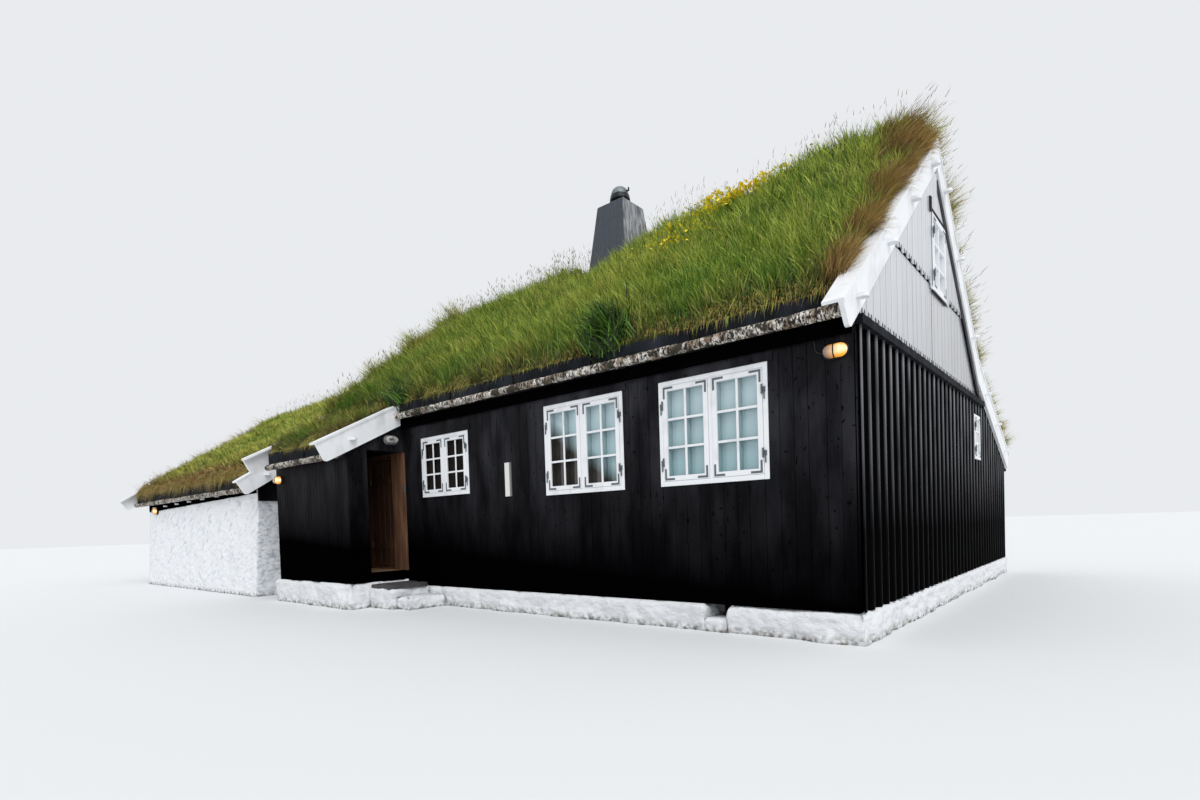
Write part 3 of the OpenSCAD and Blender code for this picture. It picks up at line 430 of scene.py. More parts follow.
def birchBark(name):
    # rolled birch bark: chalky white skin broken by many black scars, brown where it peels, with moss
    # along the top
    finish, tree, place = newFinish(name, {"Roughness": 0.72, "IOR": 1.5})
    scars = patches(tree, place, 26, 0.50, 0.57, (0.7, 1.6, 1.6), 5)
    peel = patches(tree, place, 70, 0.46, 0.6, (1, 1.5, 1.5), 6)
    moss = patches(tree, place, 160, 0.52, 0.6, detail=7)
    fine = patches(tree, place, 9, 0.48, 0.62, (0.6, 2, 2), 4)
    colour = coats(tree, "#f1ece2", (peel, "#8d7861"), (fine, "#57493c"), (scars, "#0f0c0a"),
                   (moss, "#2e2b17"))
    return surface(finish, colour, scars, 0.012, 0.9)


def blackSheet(name):
    # corrugated sheet iron under thick black paint, black in the hollows, with the shader's own
    # reflection kept very low; a painted highlight, pale grey along each crest in streaky runs and
    # strongest high up, stands in for the sky's reflection
    finish, tree, place = newFinish(name, {"Roughness": 0.4, "IOR": 1.5, "Specular IOR Level": 0.01})
    high = rising(tree, place, (0.0, 0.0, 1.0), 0.95, 3.0)
    runs = patches(tree, place, 60, 0.2, 0.6, (1, 1, 10), 6)
    # painted highlight: the crest mark times the rise with height times the runs
    paintedCrestHighlight = overlap(tree, carried(tree, "crest")[0], high, runs)
    flecks = patches(tree, place, 12, 0.3, 0.7)
    return surface(finish, coats(tree, "#020203", (paintedCrestHighlight, "#9a9b9f")), flecks, 0.0008, 0.5)


def paneGlass(name, shade=0.0):
    # old drawn window glass: the right room shows pale blue green blinds, lighter towards the top; the
    # left rooms are dark brown low down, painted shade of unlit rooms, and grey blue near the top; the bars
    # behind it take the same tones, a share darker as painted shade
    finish, tree, place = newFinish(name, {"Roughness": 0.06, "IOR": 1.52, "Coat Weight": 0.8,
                                           "Coat Roughness": 0.03})
    blind = rising(tree, place, (1.0, 0.0, 1.5), -0.40, -0.05)
    far = rising(tree, place, (1.0, 0.0, 0.6), -4.4, -3.4)
    wave = patches(tree, place, 320, 0.35, 0.65, (1, 1, 1.6), 2)
    lift = rising(tree, place, (0.0, 0.0, 1.0), 1.6, 2.5)
    pale = coats(tree, "#9cbdc2", (lift, "#c4d9de"))
    grey = coats(tree, "#2b211b", (wave, "#3c3a36"))
    # painted shade: the dark brown of the unlit rooms
    dark = coats(tree, "#1c120e", (wave, "#2a2420"))
    colour = coats(tree, dark, (far, grey), (blind, pale), (shade, "#15120f"))
    return surface(finish, colour, wave, 0.0006, 0.3)


def skyGlass(name):
    # gable panes with the bright sky's reflection painted into their colour: pale grey with a faint wave
    finish, tree, place = newFinish(name, {"Roughness": 0.08, "IOR": 1.52, "Coat Weight": 0.8})
    wave = patches(tree, place, 260, 0.35, 0.65, detail=2)
    return surface(finish, coats(tree, "#c3c9cf", (wave, "#dfe3e6")), wave, 0.0006, 0.3)


def plaqueSkin(name):
    # white enamel with a duller grey strip down its right side
    finish, tree, place = newFinish(name, {"Roughness": 0.35, "IOR": 1.5})
    strip = rising(tree, place, (1.0, 0.0, 0.0), -4.398, -4.394)
    return surface(finish, coats(tree, "#dcddd9", (strip, "#77736b")))


def ribbedGlass(name, lit):
    # ribbed pressed glass: clear grey with its ribs painted pale and dark as highlights and shade, or lit,
    # when it is brown at its dark end and glows amber towards the bulb's end
    glow = 1.3 if lit else 0.0
    finish, tree, place = newFinish(name, {"Roughness": 0.2, "IOR": 1.5, "Emission Strength": glow})
    ribs = patches(tree, place, 16, 0.3, 0.7, (0.5, 3, 3), 1)
    if not lit:
        # painted highlights and shade along the ribs of the unlit glass
        return surface(finish, coats(tree, "#4d4a46", (ribs, "#d8d8d4")), ribs, 0.003, 0.8)
    along, middle = carried(tree, "bulb")[:2]
    hot = coats(tree, "#e0901c", (middle, "#fffbdc"))
    sockets = {"Emission Color": coats(tree, "#0d0805", (along, hot))}
    return surface(finish, coats(tree, "#a58a7c", (along, "#b07c2c")), ribs, 0.003, 0.8, **sockets)


def metalSkin(name, dark, light, values):
    # bare or painted metal: fine speckle with darker patches
    finish, tree, place = newFinish(name, values)
    speck = patches(tree, place, 9, 0.3, 0.7, detail=5)
    return surface(finish, coats(tree, dark, (speck, light)), speck, 0.0006, 0.5)


def chimneyBoards(name):
    # slate coloured boards: blue grey, with the side that faces the light painted pale grey and streaked, as
    # painted light
    finish, tree, place = newFinish(name, {"Roughness": 0.6, "IOR": 1.5, "Specular IOR Level": 0.25})
    grain = patches(tree, place, 9, 0.3, 0.7, (1, 1, 30), 4)
    streak = patches(tree, place, 34, 0.38, 0.62, (1, 1, 9), 6)
    pale = coats(tree, "#5c5f63", (streak, "#9fa1a5"))
    colour = coats(tree, "#3a3f46", (grain, "#4b525b"), (carried(tree, "litSide")[0], pale))
    return surface(finish, colour, grain, 0.0015, 0.6)


def leafSkin(name, dark, light):
    # broad leaves and petals: coloured by the tone of each
    finish, tree, place = newFinish(name, {"Roughness": 0.5, "IOR": 1.45})
    return surface(finish, coats(tree, dark, (carried(tree, "growth")[1], light)))


def skin(roughness, more=()):
    # the shader's values: its roughness, the common refraction of 1.5 and more where given
    return {"Roughness": roughness, "IOR": 1.5, **dict(more)}


tarSkin = skin(0.5, {"Specular IOR Level": 0.06})
# painted shade: the matt skin below and the near-black finish made with it stand in for shade under the roof
# boarding, along the eave and behind the gable boards and the iron
paintedShadeSkin = skin(0.95, {"Specular IOR Level": 0.0})
# the tarred boards' fade paints light: lighter high up and a little towards the right, near black low down
tarred = tarredWood("tarredBoards", "#0f0f12", "#1c1c20", "#3e3e43", tarSkin, ((0.08, 0.0, 1.0), 0.3, 2.3))
shaded = tarredWood("paintedShadeBlack", "#020203", "#040405", "#060607", paintedShadeSkin)
gloss = glossBoards("glossBoardsPaintedSkyReflection")
sheetIron = blackSheet("blackIronPaintedCrestHighlight")
white = whitePaint("whiteOilPaint")
lime = limewash("limewashedRubble")
slate = splitSlate("splitSlate", "#2a2a2e", "#4c4b4d", skin(0.7))
edgeBoard = tarredWood("tarredTurfBoards", "#101215", "#1b1e23", "#2f333a", {**tarSkin, "Roughness": 0.7})
zinc = splitSlate("weatheredZinc", "#23282a", "#8f9a9c", skin(0.35, {"Metallic": 0.3}), 46)
chimneySkin = chimneyBoards("chimneyBoardsPaintedLitSide")
floorWood = plainWood("wornFloorBoards", "#6d563e", "#97795a", skin(0.7))
pine = plainWood("agedPine", "#4a3022", "#8b6549", skin(0.6), 16)
frameWood = plainWood("darkPine", "#3c2418", "#7c5137", skin(0.6), 14)
doorWood = plainWood("stainedDoorBoards", "#37231a", "#5c3d2b", skin(0.5))
soil = turfSoil("turfSod")
grass = grassBlades("grassAndStraw")
bark = birchBark("rolledBirchBark")
pane = paneGlass("drawnWindowGlass")
palePane = skyGlass("paintedSkyReflectionGlass")
innerPaint = paneGlass("shadedSashPaint", 0.3)
iron = metalSkin("galvanisedFittings", "#4f585e", "#6a737a", skin(0.5, {"Metallic": 0.3}))
darkIron = metalSkin("blackenedIron", "#1b1c1e", "#33353a", skin(0.38, {"Metallic": 0.7}))
shell = metalSkin("blackLampShell", "#0d0c0c", "#1d1b1a", skin(0.5, {"Specular IOR Level": 0.2}))
greyShell = metalSkin("castLampShell", "#54575a", "#8a8d8e", skin(0.4, {"Metallic": 0.5}))
rubber = metalSkin("blackRubber", "#0e0e10", "#1a1a1c", skin(0.6))
litGlass = ribbedGlass("litAmberGlass", True)
dullGlass = ribbedGlass("unlitRibbedGlass", False)
leaf = leafSkin("dockLeaves", "#0c1a04", "#6d9a3a")
petal = leafSkin("yellowPetals", "#eccb12", "#fff02e")


def dress(finish, *names):
    # the finish in every material slot of these nodes
    for name in names:
        for slot in nodes[name].material_slots:
            slot.link = "OBJECT"
            slot.material = finish


dress(tarred, "front_wall", "over_door_wall", "left_gable", "lobby_front_wall", "lobby_left_wall",
      "lobby_side_wall", "over_doorway_wall", "wing_gables")
# painted shade: decks and the slabs behind the gable boards and the iron go near black
dress(shaded, "gable_boards_lower", "gable_boards_upper", "iron_gable", "deck_front", "deck_rear",
      "lobby_deck", "wing_deck")
dress(white, "barge_right_front", "barge_right_rear", "barge_left", "lobby_bargeboards", "wing_bargeboards",
      "front_windows", "gable_windows")
dress(plaqueSkin("whiteEnamel"), "plaque")
dress(lime, "front_plinth", "vent_sill", "side_plinths", "lobby_plinth", "rear_wall", "wing_front_wall",
      "wing_return_wall", "wing_link_wall", "wing_left_wall", "wing_rear_wall")
dress(edgeBoard, "turf_boards", "gable_ledge")
dress(floorWood, "floors", "floor_joists")
dress(frameWood, "door_frame")
dress(pine, "doorway_lining")
dress(doorWood, "door_leaf")
dress(soil, "turf_front", "turf_rear", "lobby_turf", "wing_turf")
dress(bark, "bark_rolls")
dress(pane, "front_glass")
dress(palePane, "gable_glass")
dress(chimneySkin, "chimney")
dress(darkIron, "cowl")
dress(shell, "wall_lamps")
dress(slate, "door_step")
print("materials ready")


# Camera: turned left, a little down and a little rolled, in degrees; the lens in millimetres

camera = {"place": (1.780, -5.512, 1.112), "turn": 39.80, "pitch": -1.53, "roll": -1.82,
          "lens": 18.825, "shiftX": -0.00525, "shiftY": 0.1171}


def makeCamera():
    # ahead = (-sin turn cos pitch, cos turn cos pitch, sin pitch), then turned about it by the roll
    turn, pitch, roll = (math.radians(camera[k]) for k in ("turn", "pitch", "roll"))
    ahead = np.array([-math.sin(turn) * math.cos(pitch), math.cos(turn) * math.cos(pitch), math.sin(pitch)])
    right = unit(np.cross(ahead, (0, 0, 1)))
    up = np.cross(right, ahead)
    lens = bpy.data.cameras.new("camera")
    lens.lens, lens.sensor_width = camera["lens"], 36
    lens.shift_x, lens.shift_y = camera["shiftX"], camera["shiftY"]
    lens.clip_end = 500
    view = bpy.data.objects.new("camera", lens)
    axes = np.eye(4)
    axes[:3, 0] = math.cos(roll) * right + math.sin(roll) * up
    axes[:3, 1] = -math.sin(roll) * right + math.cos(roll) * up
    axes[:3, 2] = -ahead
    axes[:3, 3] = np.array(camera["place"]) + corner
    view.matrix_world = Matrix(axes.tolist())
    bpy.context.scene.collection.objects.link(view)
    bpy.context.scene.camera = view


makeCamera()


# Roof lines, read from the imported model

def roofFrame(line, x0, x1, verges=True, swell=((0,), (0,))):
    # the line of the boarding from eave to eave, the ends of the turf and its swell along the ridge
    return {"line": line, "eave": line[0][0], "ridge": line[0][np.argmax(line[1])], "back": line[0][-1],
            "x": (x0, x1), "verges": verges, "swell": swell}


mainTurf, lobbyTurf, wingTurf = houseBox("turf_front"), houseBox("lobby_turf"), houseBox("wing_turf")
wingBarge = houseBox("wing_bargeboards")[1][0]
turfThick = mainTurf[1][2] - houseBox("deck_front")[1][2]
mainLine = np.hstack([sideLine("deck_front", max), sideLine("deck_rear", max)[:, 1:]])
mainSwell = ((-9.1, -8.6, -8.2, -7.6, -5.7, -5.3, -4.9, -4.4, -3.3, -2.9, -2.5, -1.6, -0.8, -0.4, -0.1),
             (0.0, -0.07, -0.08, 0.0, 0.04, -0.06, 0.0, 0.08, 0.20, 0.16, 0.14, 0.26, 0.36, 0.30, 0.14))
roofs = {
    "main": roofFrame(mainLine, mainTurf[0][0], mainTurf[1][0], swell=mainSwell),
    "lobby": roofFrame(sideLine("lobby_turf", min), lobbyTurf[0][0], lobbyTurf[1][0]),
    "wing": roofFrame(sideLine("wing_turf", min), wingTurf[0][0], wingBarge - 0.20),
    "wingBack": roofFrame(sideLine("wing_turf", min), wingBarge - 0.25, houseBox("left_gable")[0][0], False),
}
mainRoof, lobbyRoof, wingRoof = roofs["main"], roofs["lobby"], roofs["wing"]
sod = {"capIn": 0.129, "underCap": 0.235, "blend": 0.1, "lump": 0.035, "small": 0.012, "round": 0.10,
       "rounded": 0.18, "crest": 0.9, "step": 0.085}


def under(roof, y, drop=0.048):
    # height of the underside of the boarding at y
    return np.interp(y, *roof["line"]) - drop


def turfTop(roof, x, y):
    # boarding height at y plus the turf's thickness, lower under the cap boards, with soft lumps and
    # a swell that fades away from the ridge by exp(-(distance / crest)^2)
    place = np.stack([x, y], -1)
    lumps = sod["lump"] * ripple(place, 0.7, 3) + sod["small"] * ripple(place, 0.19, 5)
    fromEdge = np.minimum(x - roof["x"][0], roof["x"][1] - x) if roof["verges"] else 1.0
    thick = np.where(fromEdge < sod["capIn"], sod["underCap"], turfThick)
    fromEave = np.minimum(y - roof["eave"], roof["back"] - y)
    droop = sod["round"] * (1 - np.clip(fromEave / sod["rounded"], 0, 1)) ** 2
    inside = np.clip((fromEdge - sod["capIn"]) / sod["blend"], 0, 1)
    swell = np.interp(x, *roof["swell"]) * np.exp(-((y - roof["ridge"]) / sod["crest"]) ** 2) * inside
    return np.interp(y, *roof["line"]) + thick + lumps * inside + swell - droop


def makeSod(name, key, replaced, frontFrom=None):
    # the turf's side outline, up its front edge, over the top and down, carried along x
    roof = roofs[key]
    y0, y1 = roof["eave"] if frontFrom is None else frontFrom, roof["back"]
    xs = np.linspace(*roof["x"], max(3, round((roof["x"][1] - roof["x"][0]) / sod["step"])))
    ys = np.linspace(y0, y1, max(4, round((y1 - y0) / sod["step"])))
    gridX, gridY = np.meshgrid(xs, ys, indexing="ij")
    top = xyz(gridX, gridY, turfTop(roof, gridX, gridY))
    bottom = xyz(gridX, gridY, np.interp(gridY, *roof["line"]) + 0.001)[:, ::-1]
    points, faces = loft(np.concatenate([top, bottom], 1)[::-1])
    makePiece(name, points, faces, soil, "living_turf", replaced, smooth=True)


makeSod("main_sod", "main", ["turf_front", "turf_rear"])
makeSod("lobby_sod", "lobby", ["lobby_turf"])
makeSod("wing_sod", "wing", ["wing_turf"])
makeSod("wing_back_sod", "wingBack", ["wing_turf"], 0.15)
print("sods laid")


# Grass

chimneyBox = houseBox("chimney")
chimneyLook = {"x": chimneyBox[0][0] / 2 + chimneyBox[1][0] / 2,
               "y": chimneyBox[0][1] / 2 + chimneyBox[1][1] / 2,
               "seam": 0.006, "proud": 0.008, "boards": 4, "clear": 0.36}


blade = {"bend": 0.55, "bendFall": 0.2, "bendDrift": 0.25, "narrow": 0.8}


def growBlades(name, spots, look, seed, finish=grass):
    # each blade is a strip of three faces: two points at the root, two at the bend and one at the
    # tip; it grows along its lean for its length and the tip falls by its droop
    rng = np.random.default_rng(seed)
    base, lean, length, width, tone, dry = spots
    count = len(base)
    half = unit(np.cross(lean, rng.normal(size=(count, 3)))) * np.reshape(width, (-1, 1)) / 2
    ahead = lean * length[:, None]
    fall = np.array([0, 0, -1.0]) * (look["droop"] * length * rng.uniform(0.3, 1.0, count))[:, None]
    drift = np.array(look["wind"]) * length[:, None]
    bend = base + ahead * blade["bend"] + fall * blade["bendFall"] + drift * blade["bendDrift"]
    tip = base + ahead + fall + drift
    bendHalf = half * blade["narrow"]
    points = np.stack([base - half, base + half, bend + bendHalf, bend - bendHalf, tip], 1)
    growth = xyz(np.array([0.0, 0.0, 0.8, 0.8, 1.0]), tone[:, None], np.reshape(dry, (-1, 1)))
    start = 5 * np.arange(count)[:, None]
    faces = [start + np.array([[0, 1, 2, 3]]), start + np.array([[3, 2, 4]])]
    marks = {"growth": growth.reshape(-1, 3)}
    makePiece(name, points.reshape(-1, 3), faces, finish, "living_turf", marks=marks)


def meadow(name, key, count, xs, ys, look, seed):
    # blades in tufts: each tuft has its own place, lean, height and tone, each blade a little its own;
    # dryness falls by exp(-distance) from verge and eave, and blades are shorter near the chimney
    rng = np.random.default_rng(seed)
    roof = roofs[key]
    tufts = max(1, count // look["perTuft"])
    centre = np.stack([rng.uniform(*xs, tufts), rng.uniform(*ys, tufts)], -1)
    own = np.repeat(np.arange(tufts), look["perTuft"])
    total = len(own)
    spot = np.clip(centre[own] + rng.normal(0, look["spread"], (total, 2)), *np.transpose([xs, ys]))
    x, y = spot.T
    fromEave = np.minimum(y - roof["eave"], roof["back"] - y)
    fromVerge = np.minimum(x - roof["x"][0], roof["x"][1] - x)
    patch = ripple(spot, 0.9, seed + 7) * 0.5 + ripple(spot, 0.28, seed + 9) * 0.5
    farLeft = look["farLeft"] * np.clip((-4.5 - x) / 3, 0, 1)
    dry = look["dry"] + look["vergeStraw"] * np.exp(-fromVerge / look["vergeDry"])
    dry = dry + look["eaveStraw"] * np.exp(-fromEave / look["eaveDry"])
    patch = look["patchy"] * patch
    dry = np.clip(dry + farLeft + patch + rng.normal(0, 0.14, total), 0, 1)
    tone = look["bright"] - farLeft + patch + rng.normal(0, 0.2, tufts)[own]
    tone = np.clip(tone + rng.normal(0, 0.28, total) - look["shade"] * np.exp(-fromEave / 0.7), 0, 1)
    splay = look["splay"]
    lean = xyz(rng.normal(0, splay, total), rng.normal(0, splay, total), 1.0)
    lean[:, :2] += rng.normal(0, splay * 0.9, (tufts, 2))[own] + np.array(look["lean"])
    length = look["long"] * rng.uniform(0.5, 1.25, total) * rng.uniform(0.6, 1.35, tufts)[own]
    width = look["wide"] * rng.uniform(0.6, 1.3, total)
    fromChimney = spot - (chimneyLook["x"], chimneyLook["y"])
    far = np.hypot(fromChimney[:, 0] + 0.25, fromChimney[:, 1])
    length = length * (1 + patch) * np.clip((far - 0.25) / 0.7, 0.3, 1)
    base = xyz(x, y, turfTop(roof, x, y) - 0.015)
    keep = np.abs(fromChimney).max(1) > chimneyLook["clear"]
    growBlades(name, [values[keep] for values in (base, unit(lean), length, width, tone, dry)], look, seed)


meadowLook = {"perTuft": 14, "spread": 0.035, "splay": 0.30, "lean": (0.0, -0.12), "long": 0.24,
              "wide": 0.0085, "droop": 0.3, "wind": (0.0, -0.10, 0), "dry": 0.08, "vergeDry": 0.15,
              "vergeStraw": 0.75, "eaveDry": 0.20, "eaveStraw": 0.27, "bright": 0.47, "shade": 0.42,
              "patchy": 0.25, "farLeft": 0.12}
rearLook = {**meadowLook, "long": 0.26, "wide": 0.013, "lean": (0.0, 0.10), "wind": (0.05, 0.1, 0),
            "dry": 0.2}
lobbyLook = {**meadowLook, "long": 0.17, "dry": 0.16, "vergeDry": 0.12, "eaveDry": 0.3}
wingLook = {**meadowLook, "long": 0.15, "wide": 0.014, "dry": 0.10, "eaveDry": 0.30, "eaveStraw": 0.85,
            "perTuft": 10, "bright": 0.66, "shade": 0.2}
wingBackLook = {**wingLook, "wide": 0.02}
lobbyFront = houseBox("lobby_front_wall")
lobbyRight = lobbyFront[1][0]
eaveY, ridgeY, rearY = (mainRoof[k] for k in ("eave", "ridge", "back"))
wingRidge = (wingRoof["eave"] + wingRoof["back"]) / 2
mainX = (mainRoof["x"][0] + sod["capIn"] + 0.01, mainRoof["x"][1] - sod["capIn"] - 0.01)
lobbyX, wingX = ((roof["x"][0] + 0.14, roof["x"][1] - 0.14) for roof in (lobbyRoof, wingRoof))
meadow("front_grass_right", "main", 56000, (-4.6, mainX[1]), (eaveY, ridgeY), meadowLook, 11)
meadow("front_grass_left", "main", 40000, (mainX[0], -4.6), (eaveY, ridgeY), meadowLook, 12)
meadow("rear_grass", "main", 30500, mainX, (ridgeY, rearY), rearLook, 13)
meadow("lobby_grass", "lobby", 9000, lobbyX, (lobbyRoof["eave"], lobbyRoof["back"]), lobbyLook, 14)
meadow("wing_grass_front", "wing", 30000, wingX, (wingRoof["eave"], wingRidge), wingLook, 15)
meadow("wing_grass_back", "wing", 13000, wingX, (wingRidge, wingRoof["back"]), wingBackLook, 16)
meadow("wing_link_grass", "wingBack", 4000, roofs["wingBack"]["x"], (0.2, wingRoof["back"]), wingBackLook, 17)
print("grass grown")


def vergeStraw(name, key, count, side, ys, seed, look):
    # long brown straw along a verge that leans out over the cap boards, most of all near the ridge:
    # its strength there is exp(-(distance / 1.4)^2)
    rng = np.random.default_rng(seed)
    roof = roofs[key]
    y = ys[1] - np.ptp(ys) * rng.uniform(0, 1, count) ** look["crowd"]
    nearTop = np.exp(-((y - roof["ridge"]) / 1.4) ** 2)
    width = look["width"][0] + (look["width"][1] - look["width"][0]) * nearTop
    inward = sod["capIn"] + 0.005 + width * rng.uniform(0, 1, count) ** 2.0
    x = roof["x"][1 if side > 0 else 0] - side * inward
    tufted = 0.5 + 0.5 * ripple(np.stack([y, x], -1), 0.16, seed)
    outward = rng.uniform(*look["out"], count) + look["over"] * nearTop * rng.uniform(0.3, 1.0, count)
    lean = unit(xyz(side * outward, rng.normal(look["back"], look["tangle"], count), 1.0))
    length = look["long"] * (0.2 + 1.1 * tufted) * rng.uniform(0.5, 1.2, count)
    length = length * (1 + (look["grow"] - 1) * nearTop)
    dry = np.clip(rng.normal(look["dry"], 0.25, count) + 0.3 * (tufted - 0.5), 0, 1)
    base = xyz(x, y, turfTop(roof, x, y) - 0.015)
    wind = (side * look["wind"][0], look["wind"][1], 0)
    spots = (base, lean, length, look["wide"], rng.uniform(0, 1, count) ** 1.3, dry)
    growBlades(name, spots, {"droop": look["droop"], "wind": wind}, seed)


vergeLook = {"width": (0.14, 0.5), "long": 0.30, "wide": 0.0055, "droop": 0.45, "dry": 0.86,
             "wind": (0.15, -0.08), "out": (-0.15, 0.75), "over": 1.0, "back": 0.1, "tangle": 0.55,
             "grow": 1.3, "crowd": 1.0}
rearVergeLook = {**vergeLook, "width": (0.10, 0.2), "out": (0.2, 1.0), "over": 0.0, "back": 0.45,
                 "long": 0.38, "wide": 0.007, "droop": 0.35, "dry": 0.5}
capLook = {**vergeLook, "width": (0.02, 0.10), "long": 0.29, "droop": 0.9, "wind": (0.16, -0.1),
           "out": (0.3, 1.3), "over": 0.4, "grow": 1.1, "dry": 0.9, "crowd": 1.7}
leftLook = {**vergeLook, "width": (0.02, 0.25), "long": 0.40, "wide": 0.008, "out": (-0.3, 0.4), "over": 0.0,
            "dry": 0.3, "droop": 0.25}
vergeStraw("verge_straw_front", "main", 15000, 1, (eaveY, ridgeY), 21, vergeLook)
vergeStraw("cap_straw", "main", 6200, 1, (ridgeY - 2.3, ridgeY - 0.02), 25, capLook)
vergeStraw("verge_straw_rear", "main", 9000, 1, (ridgeY - 0.1, rearY), 22, rearVergeLook)
vergeStraw("verge_straw_left", "main", 5200, -1, (eaveY, ridgeY), 23, leftLook)
vergeStraw("wing_verge_straw", "wing", 2500, -1, (wingRoof["eave"], wingRoof["back"]), 24, vergeLook)


def eaveFringe(name, key, count, xs, seed, long, straw):
    # thin blades and dead straw that hang from the turf's edge over the boards below it
    rng = np.random.default_rng(seed)
    x = rng.uniform(*xs, count)
    y = roofs[key]["eave"] + rng.uniform(-0.01, 0.14, count)
    tufted = 0.5 + 0.5 * ripple(np.stack([x, 0 * x], -1), 0.22, seed)
    lean = unit(xyz(rng.normal(0, 0.3, count), rng.uniform(-1.0, -0.4, count), 0.35))
    length = long * (0.25 + 1.1 * tufted) * rng.uniform(0.4, 1.3, count)
    dry = np.clip(rng.normal(straw, 0.3, count), 0, 1)
    base = xyz(x, y, turfTop(roofs[key], x, y) - 0.03)
    spots = (base, lean, length, 0.007, rng.uniform(0, 0.8, count), dry)
    growBlades(name, spots, {"droop": 1.5, "wind": (0, 0.12, 0)}, seed)


eaveFringe("eave_fringe", "main", 6000, (lobbyRight - 0.05, mainX[1]), 26, 0.12, 0.6)
eaveFringe("lobby_fringe", "lobby", 3000, lobbyX, 27, 0.12, 0.6)
eaveFringe("wing_fringe", "wing", 9000, wingX, 28, 0.25, 0.8)


def seedStalks(name, key, count, xs, ys, seed, high, bow=(0.08, 0.0), wide=0.006):
    # tall stalks with a drooping seed head: a thin blade and a short wide one at its tip
    rng = np.random.default_rng(seed)
    x, y = rng.uniform(*xs, count), rng.uniform(*ys, count)
    lean = unit(xyz(rng.normal(bow[0], 0.2, count), rng.normal(bow[1], 0.2, count), 1.0))
    length = high * rng.uniform(0.7, 1.35, count)
    base = xyz(x, y, turfTop(roofs[key], x, y))
    tone, dry = rng.uniform(0, 0.25, count), rng.uniform(0.5, 0.95, count)
    stalk = (base, lean, length, np.full(count, 0.003), 0.3 * tone, dry)
    headLean = unit(lean + rng.normal(0, 0.25, (count, 3)))
    tip = base + lean * length[:, None] * 0.97
    head = (tip, headLean, length * 0.2, np.full(count, wide), tone * 0.5, dry)
    both = [np.concatenate(pair) for pair in zip(stalk, head)]
    growBlades(name, both, {"droop": 0.0, "wind": (0, 0, 0)}, seed)


vergeX = (mainX[0], mainX[0] + 0.2)
apexX, apexY = (mainX[1] - 0.3, mainX[1]), (ridgeY - 0.4, ridgeY + 2.6)
seedStalks("ridge_stalks", "main", 460, mainX, (ridgeY - 0.35, ridgeY + 0.3), 31, 0.34)
seedStalks("left_stalks", "main", 250, (mainX[0], -5.6), (ridgeY - 0.15, ridgeY + 0.25), 35, 0.33, (0, 0),
           0.011)
seedStalks("verge_stalks", "main", 100, vergeX, (eaveY, ridgeY), 36, 0.36, (0, 0), 0.011)
seedStalks("roof_stalks", "main", 500, (-6.0, mainX[1]), (1.0, ridgeY), 32, 0.32)
seedStalks("apex_stalks", "main", 330, apexX, apexY, 33, 0.44, (0.75, 0.35))
seedStalks("wing_stalks", "wing", 260, wingRoof["x"], (wingRidge - 0.6, wingRidge + 0.3), 34, 0.3)


def flowerPatch(name, count, xs, ys, seed):
    # buttercups: five petals as a shallow five-cornered cup on the tips of the grass, tilted by
    # z = tiltX x + tiltY y
    rng = np.random.default_rng(seed)
    x, y = rng.normal(np.mean(xs), np.ptp(xs) / 4, count), rng.uniform(*ys, count)
    centre = xyz(x, y, turfTop(mainRoof, x, y) + rng.uniform(0.15, 0.27, count))[:, None]
    size = rng.uniform(0.014, 0.026, (count, 1))
    tilt = rng.normal(0, 0.5, (count, 2))
    rimX, rimY = size * np.cos(circle(5)), size * np.sin(circle(5))
    rim = xyz(rimX, rimY, rimX * tilt[:, :1] + rimY * tilt[:, 1:] + 0.006)
    points = np.concatenate([centre, centre + rim], 1)
    fan = np.stack([np.zeros(5, int), np.arange(1, 6), np.roll(np.arange(1, 6), -1)], -1)
    growth = np.repeat(xyz(1.0, rng.uniform(0, 1, count), 0.0), 6, 0)
    faces = [(fan + 6 * np.arange(count)[:, None, None]).reshape(-1, 3)]
    makePiece(name, points.reshape(-1, 3), faces, petal, "living_turf", marks={"growth": growth})


flowerPatch("ridge_flowers", 430, (-3.15, -1.65), (2.3, 2.78), 41)
flowerPatch("slope_flowers", 160, (-3.7, -2.1), (1.6, 2.3), 42)


def leafTuft(name, x, y, z, count, seed):
    # a leafy weed at the eave: pointed leaves that spring out of one root all round
    rng = np.random.default_rng(seed)
    turn, out = rng.uniform(0, 2 * math.pi, count), rng.uniform(0.15, 0.9, count)
    lean = unit(xyz(np.cos(turn) * out, np.sin(turn) * out - 0.25, 1.0))
    base = np.array([x, y, z]) + rng.normal(0, 1, (count, 3)) * np.array([0.13, 0.05, 0.10])
    spots = (base, lean, rng.uniform(0.14, 0.34, count), rng.uniform(0.011, 0.021, count),
             rng.uniform(0, 1, count) ** 1.5, 0.0)
    growBlades(name, spots, {"droop": 0.45, "wind": (0, -0.25, 0)}, seed, leaf)


leafTuft("eave_leaves", -2.62, -0.12, 3.14, 1400, 51)
leafTuft("small_eave_leaves", lobbyRight + 0.12, -0.10, 3.10, 260, 52)
print("straw, stalks, flowers and leaves grown")


# Masonry

masonryLook = {"step": 0.036, "stone": (0.36, 0.36, 0.24), "bulge": 0.014, "depth": 0.004, "joint": 3.5,
               "wave": 0.020, "waveLong": 0.33, "fine": 0.007, "fineLong": 0.085, "fade": 0.05,
               "nick": 0.13, "ragged": 0.55}
plinthLook = {**masonryLook, "step": 0.03, "stone": (0.34, 0.34, 0.2), "bulge": 0.03, "depth": 0.018,
              "fine": 0.012, "wave": 0.03}


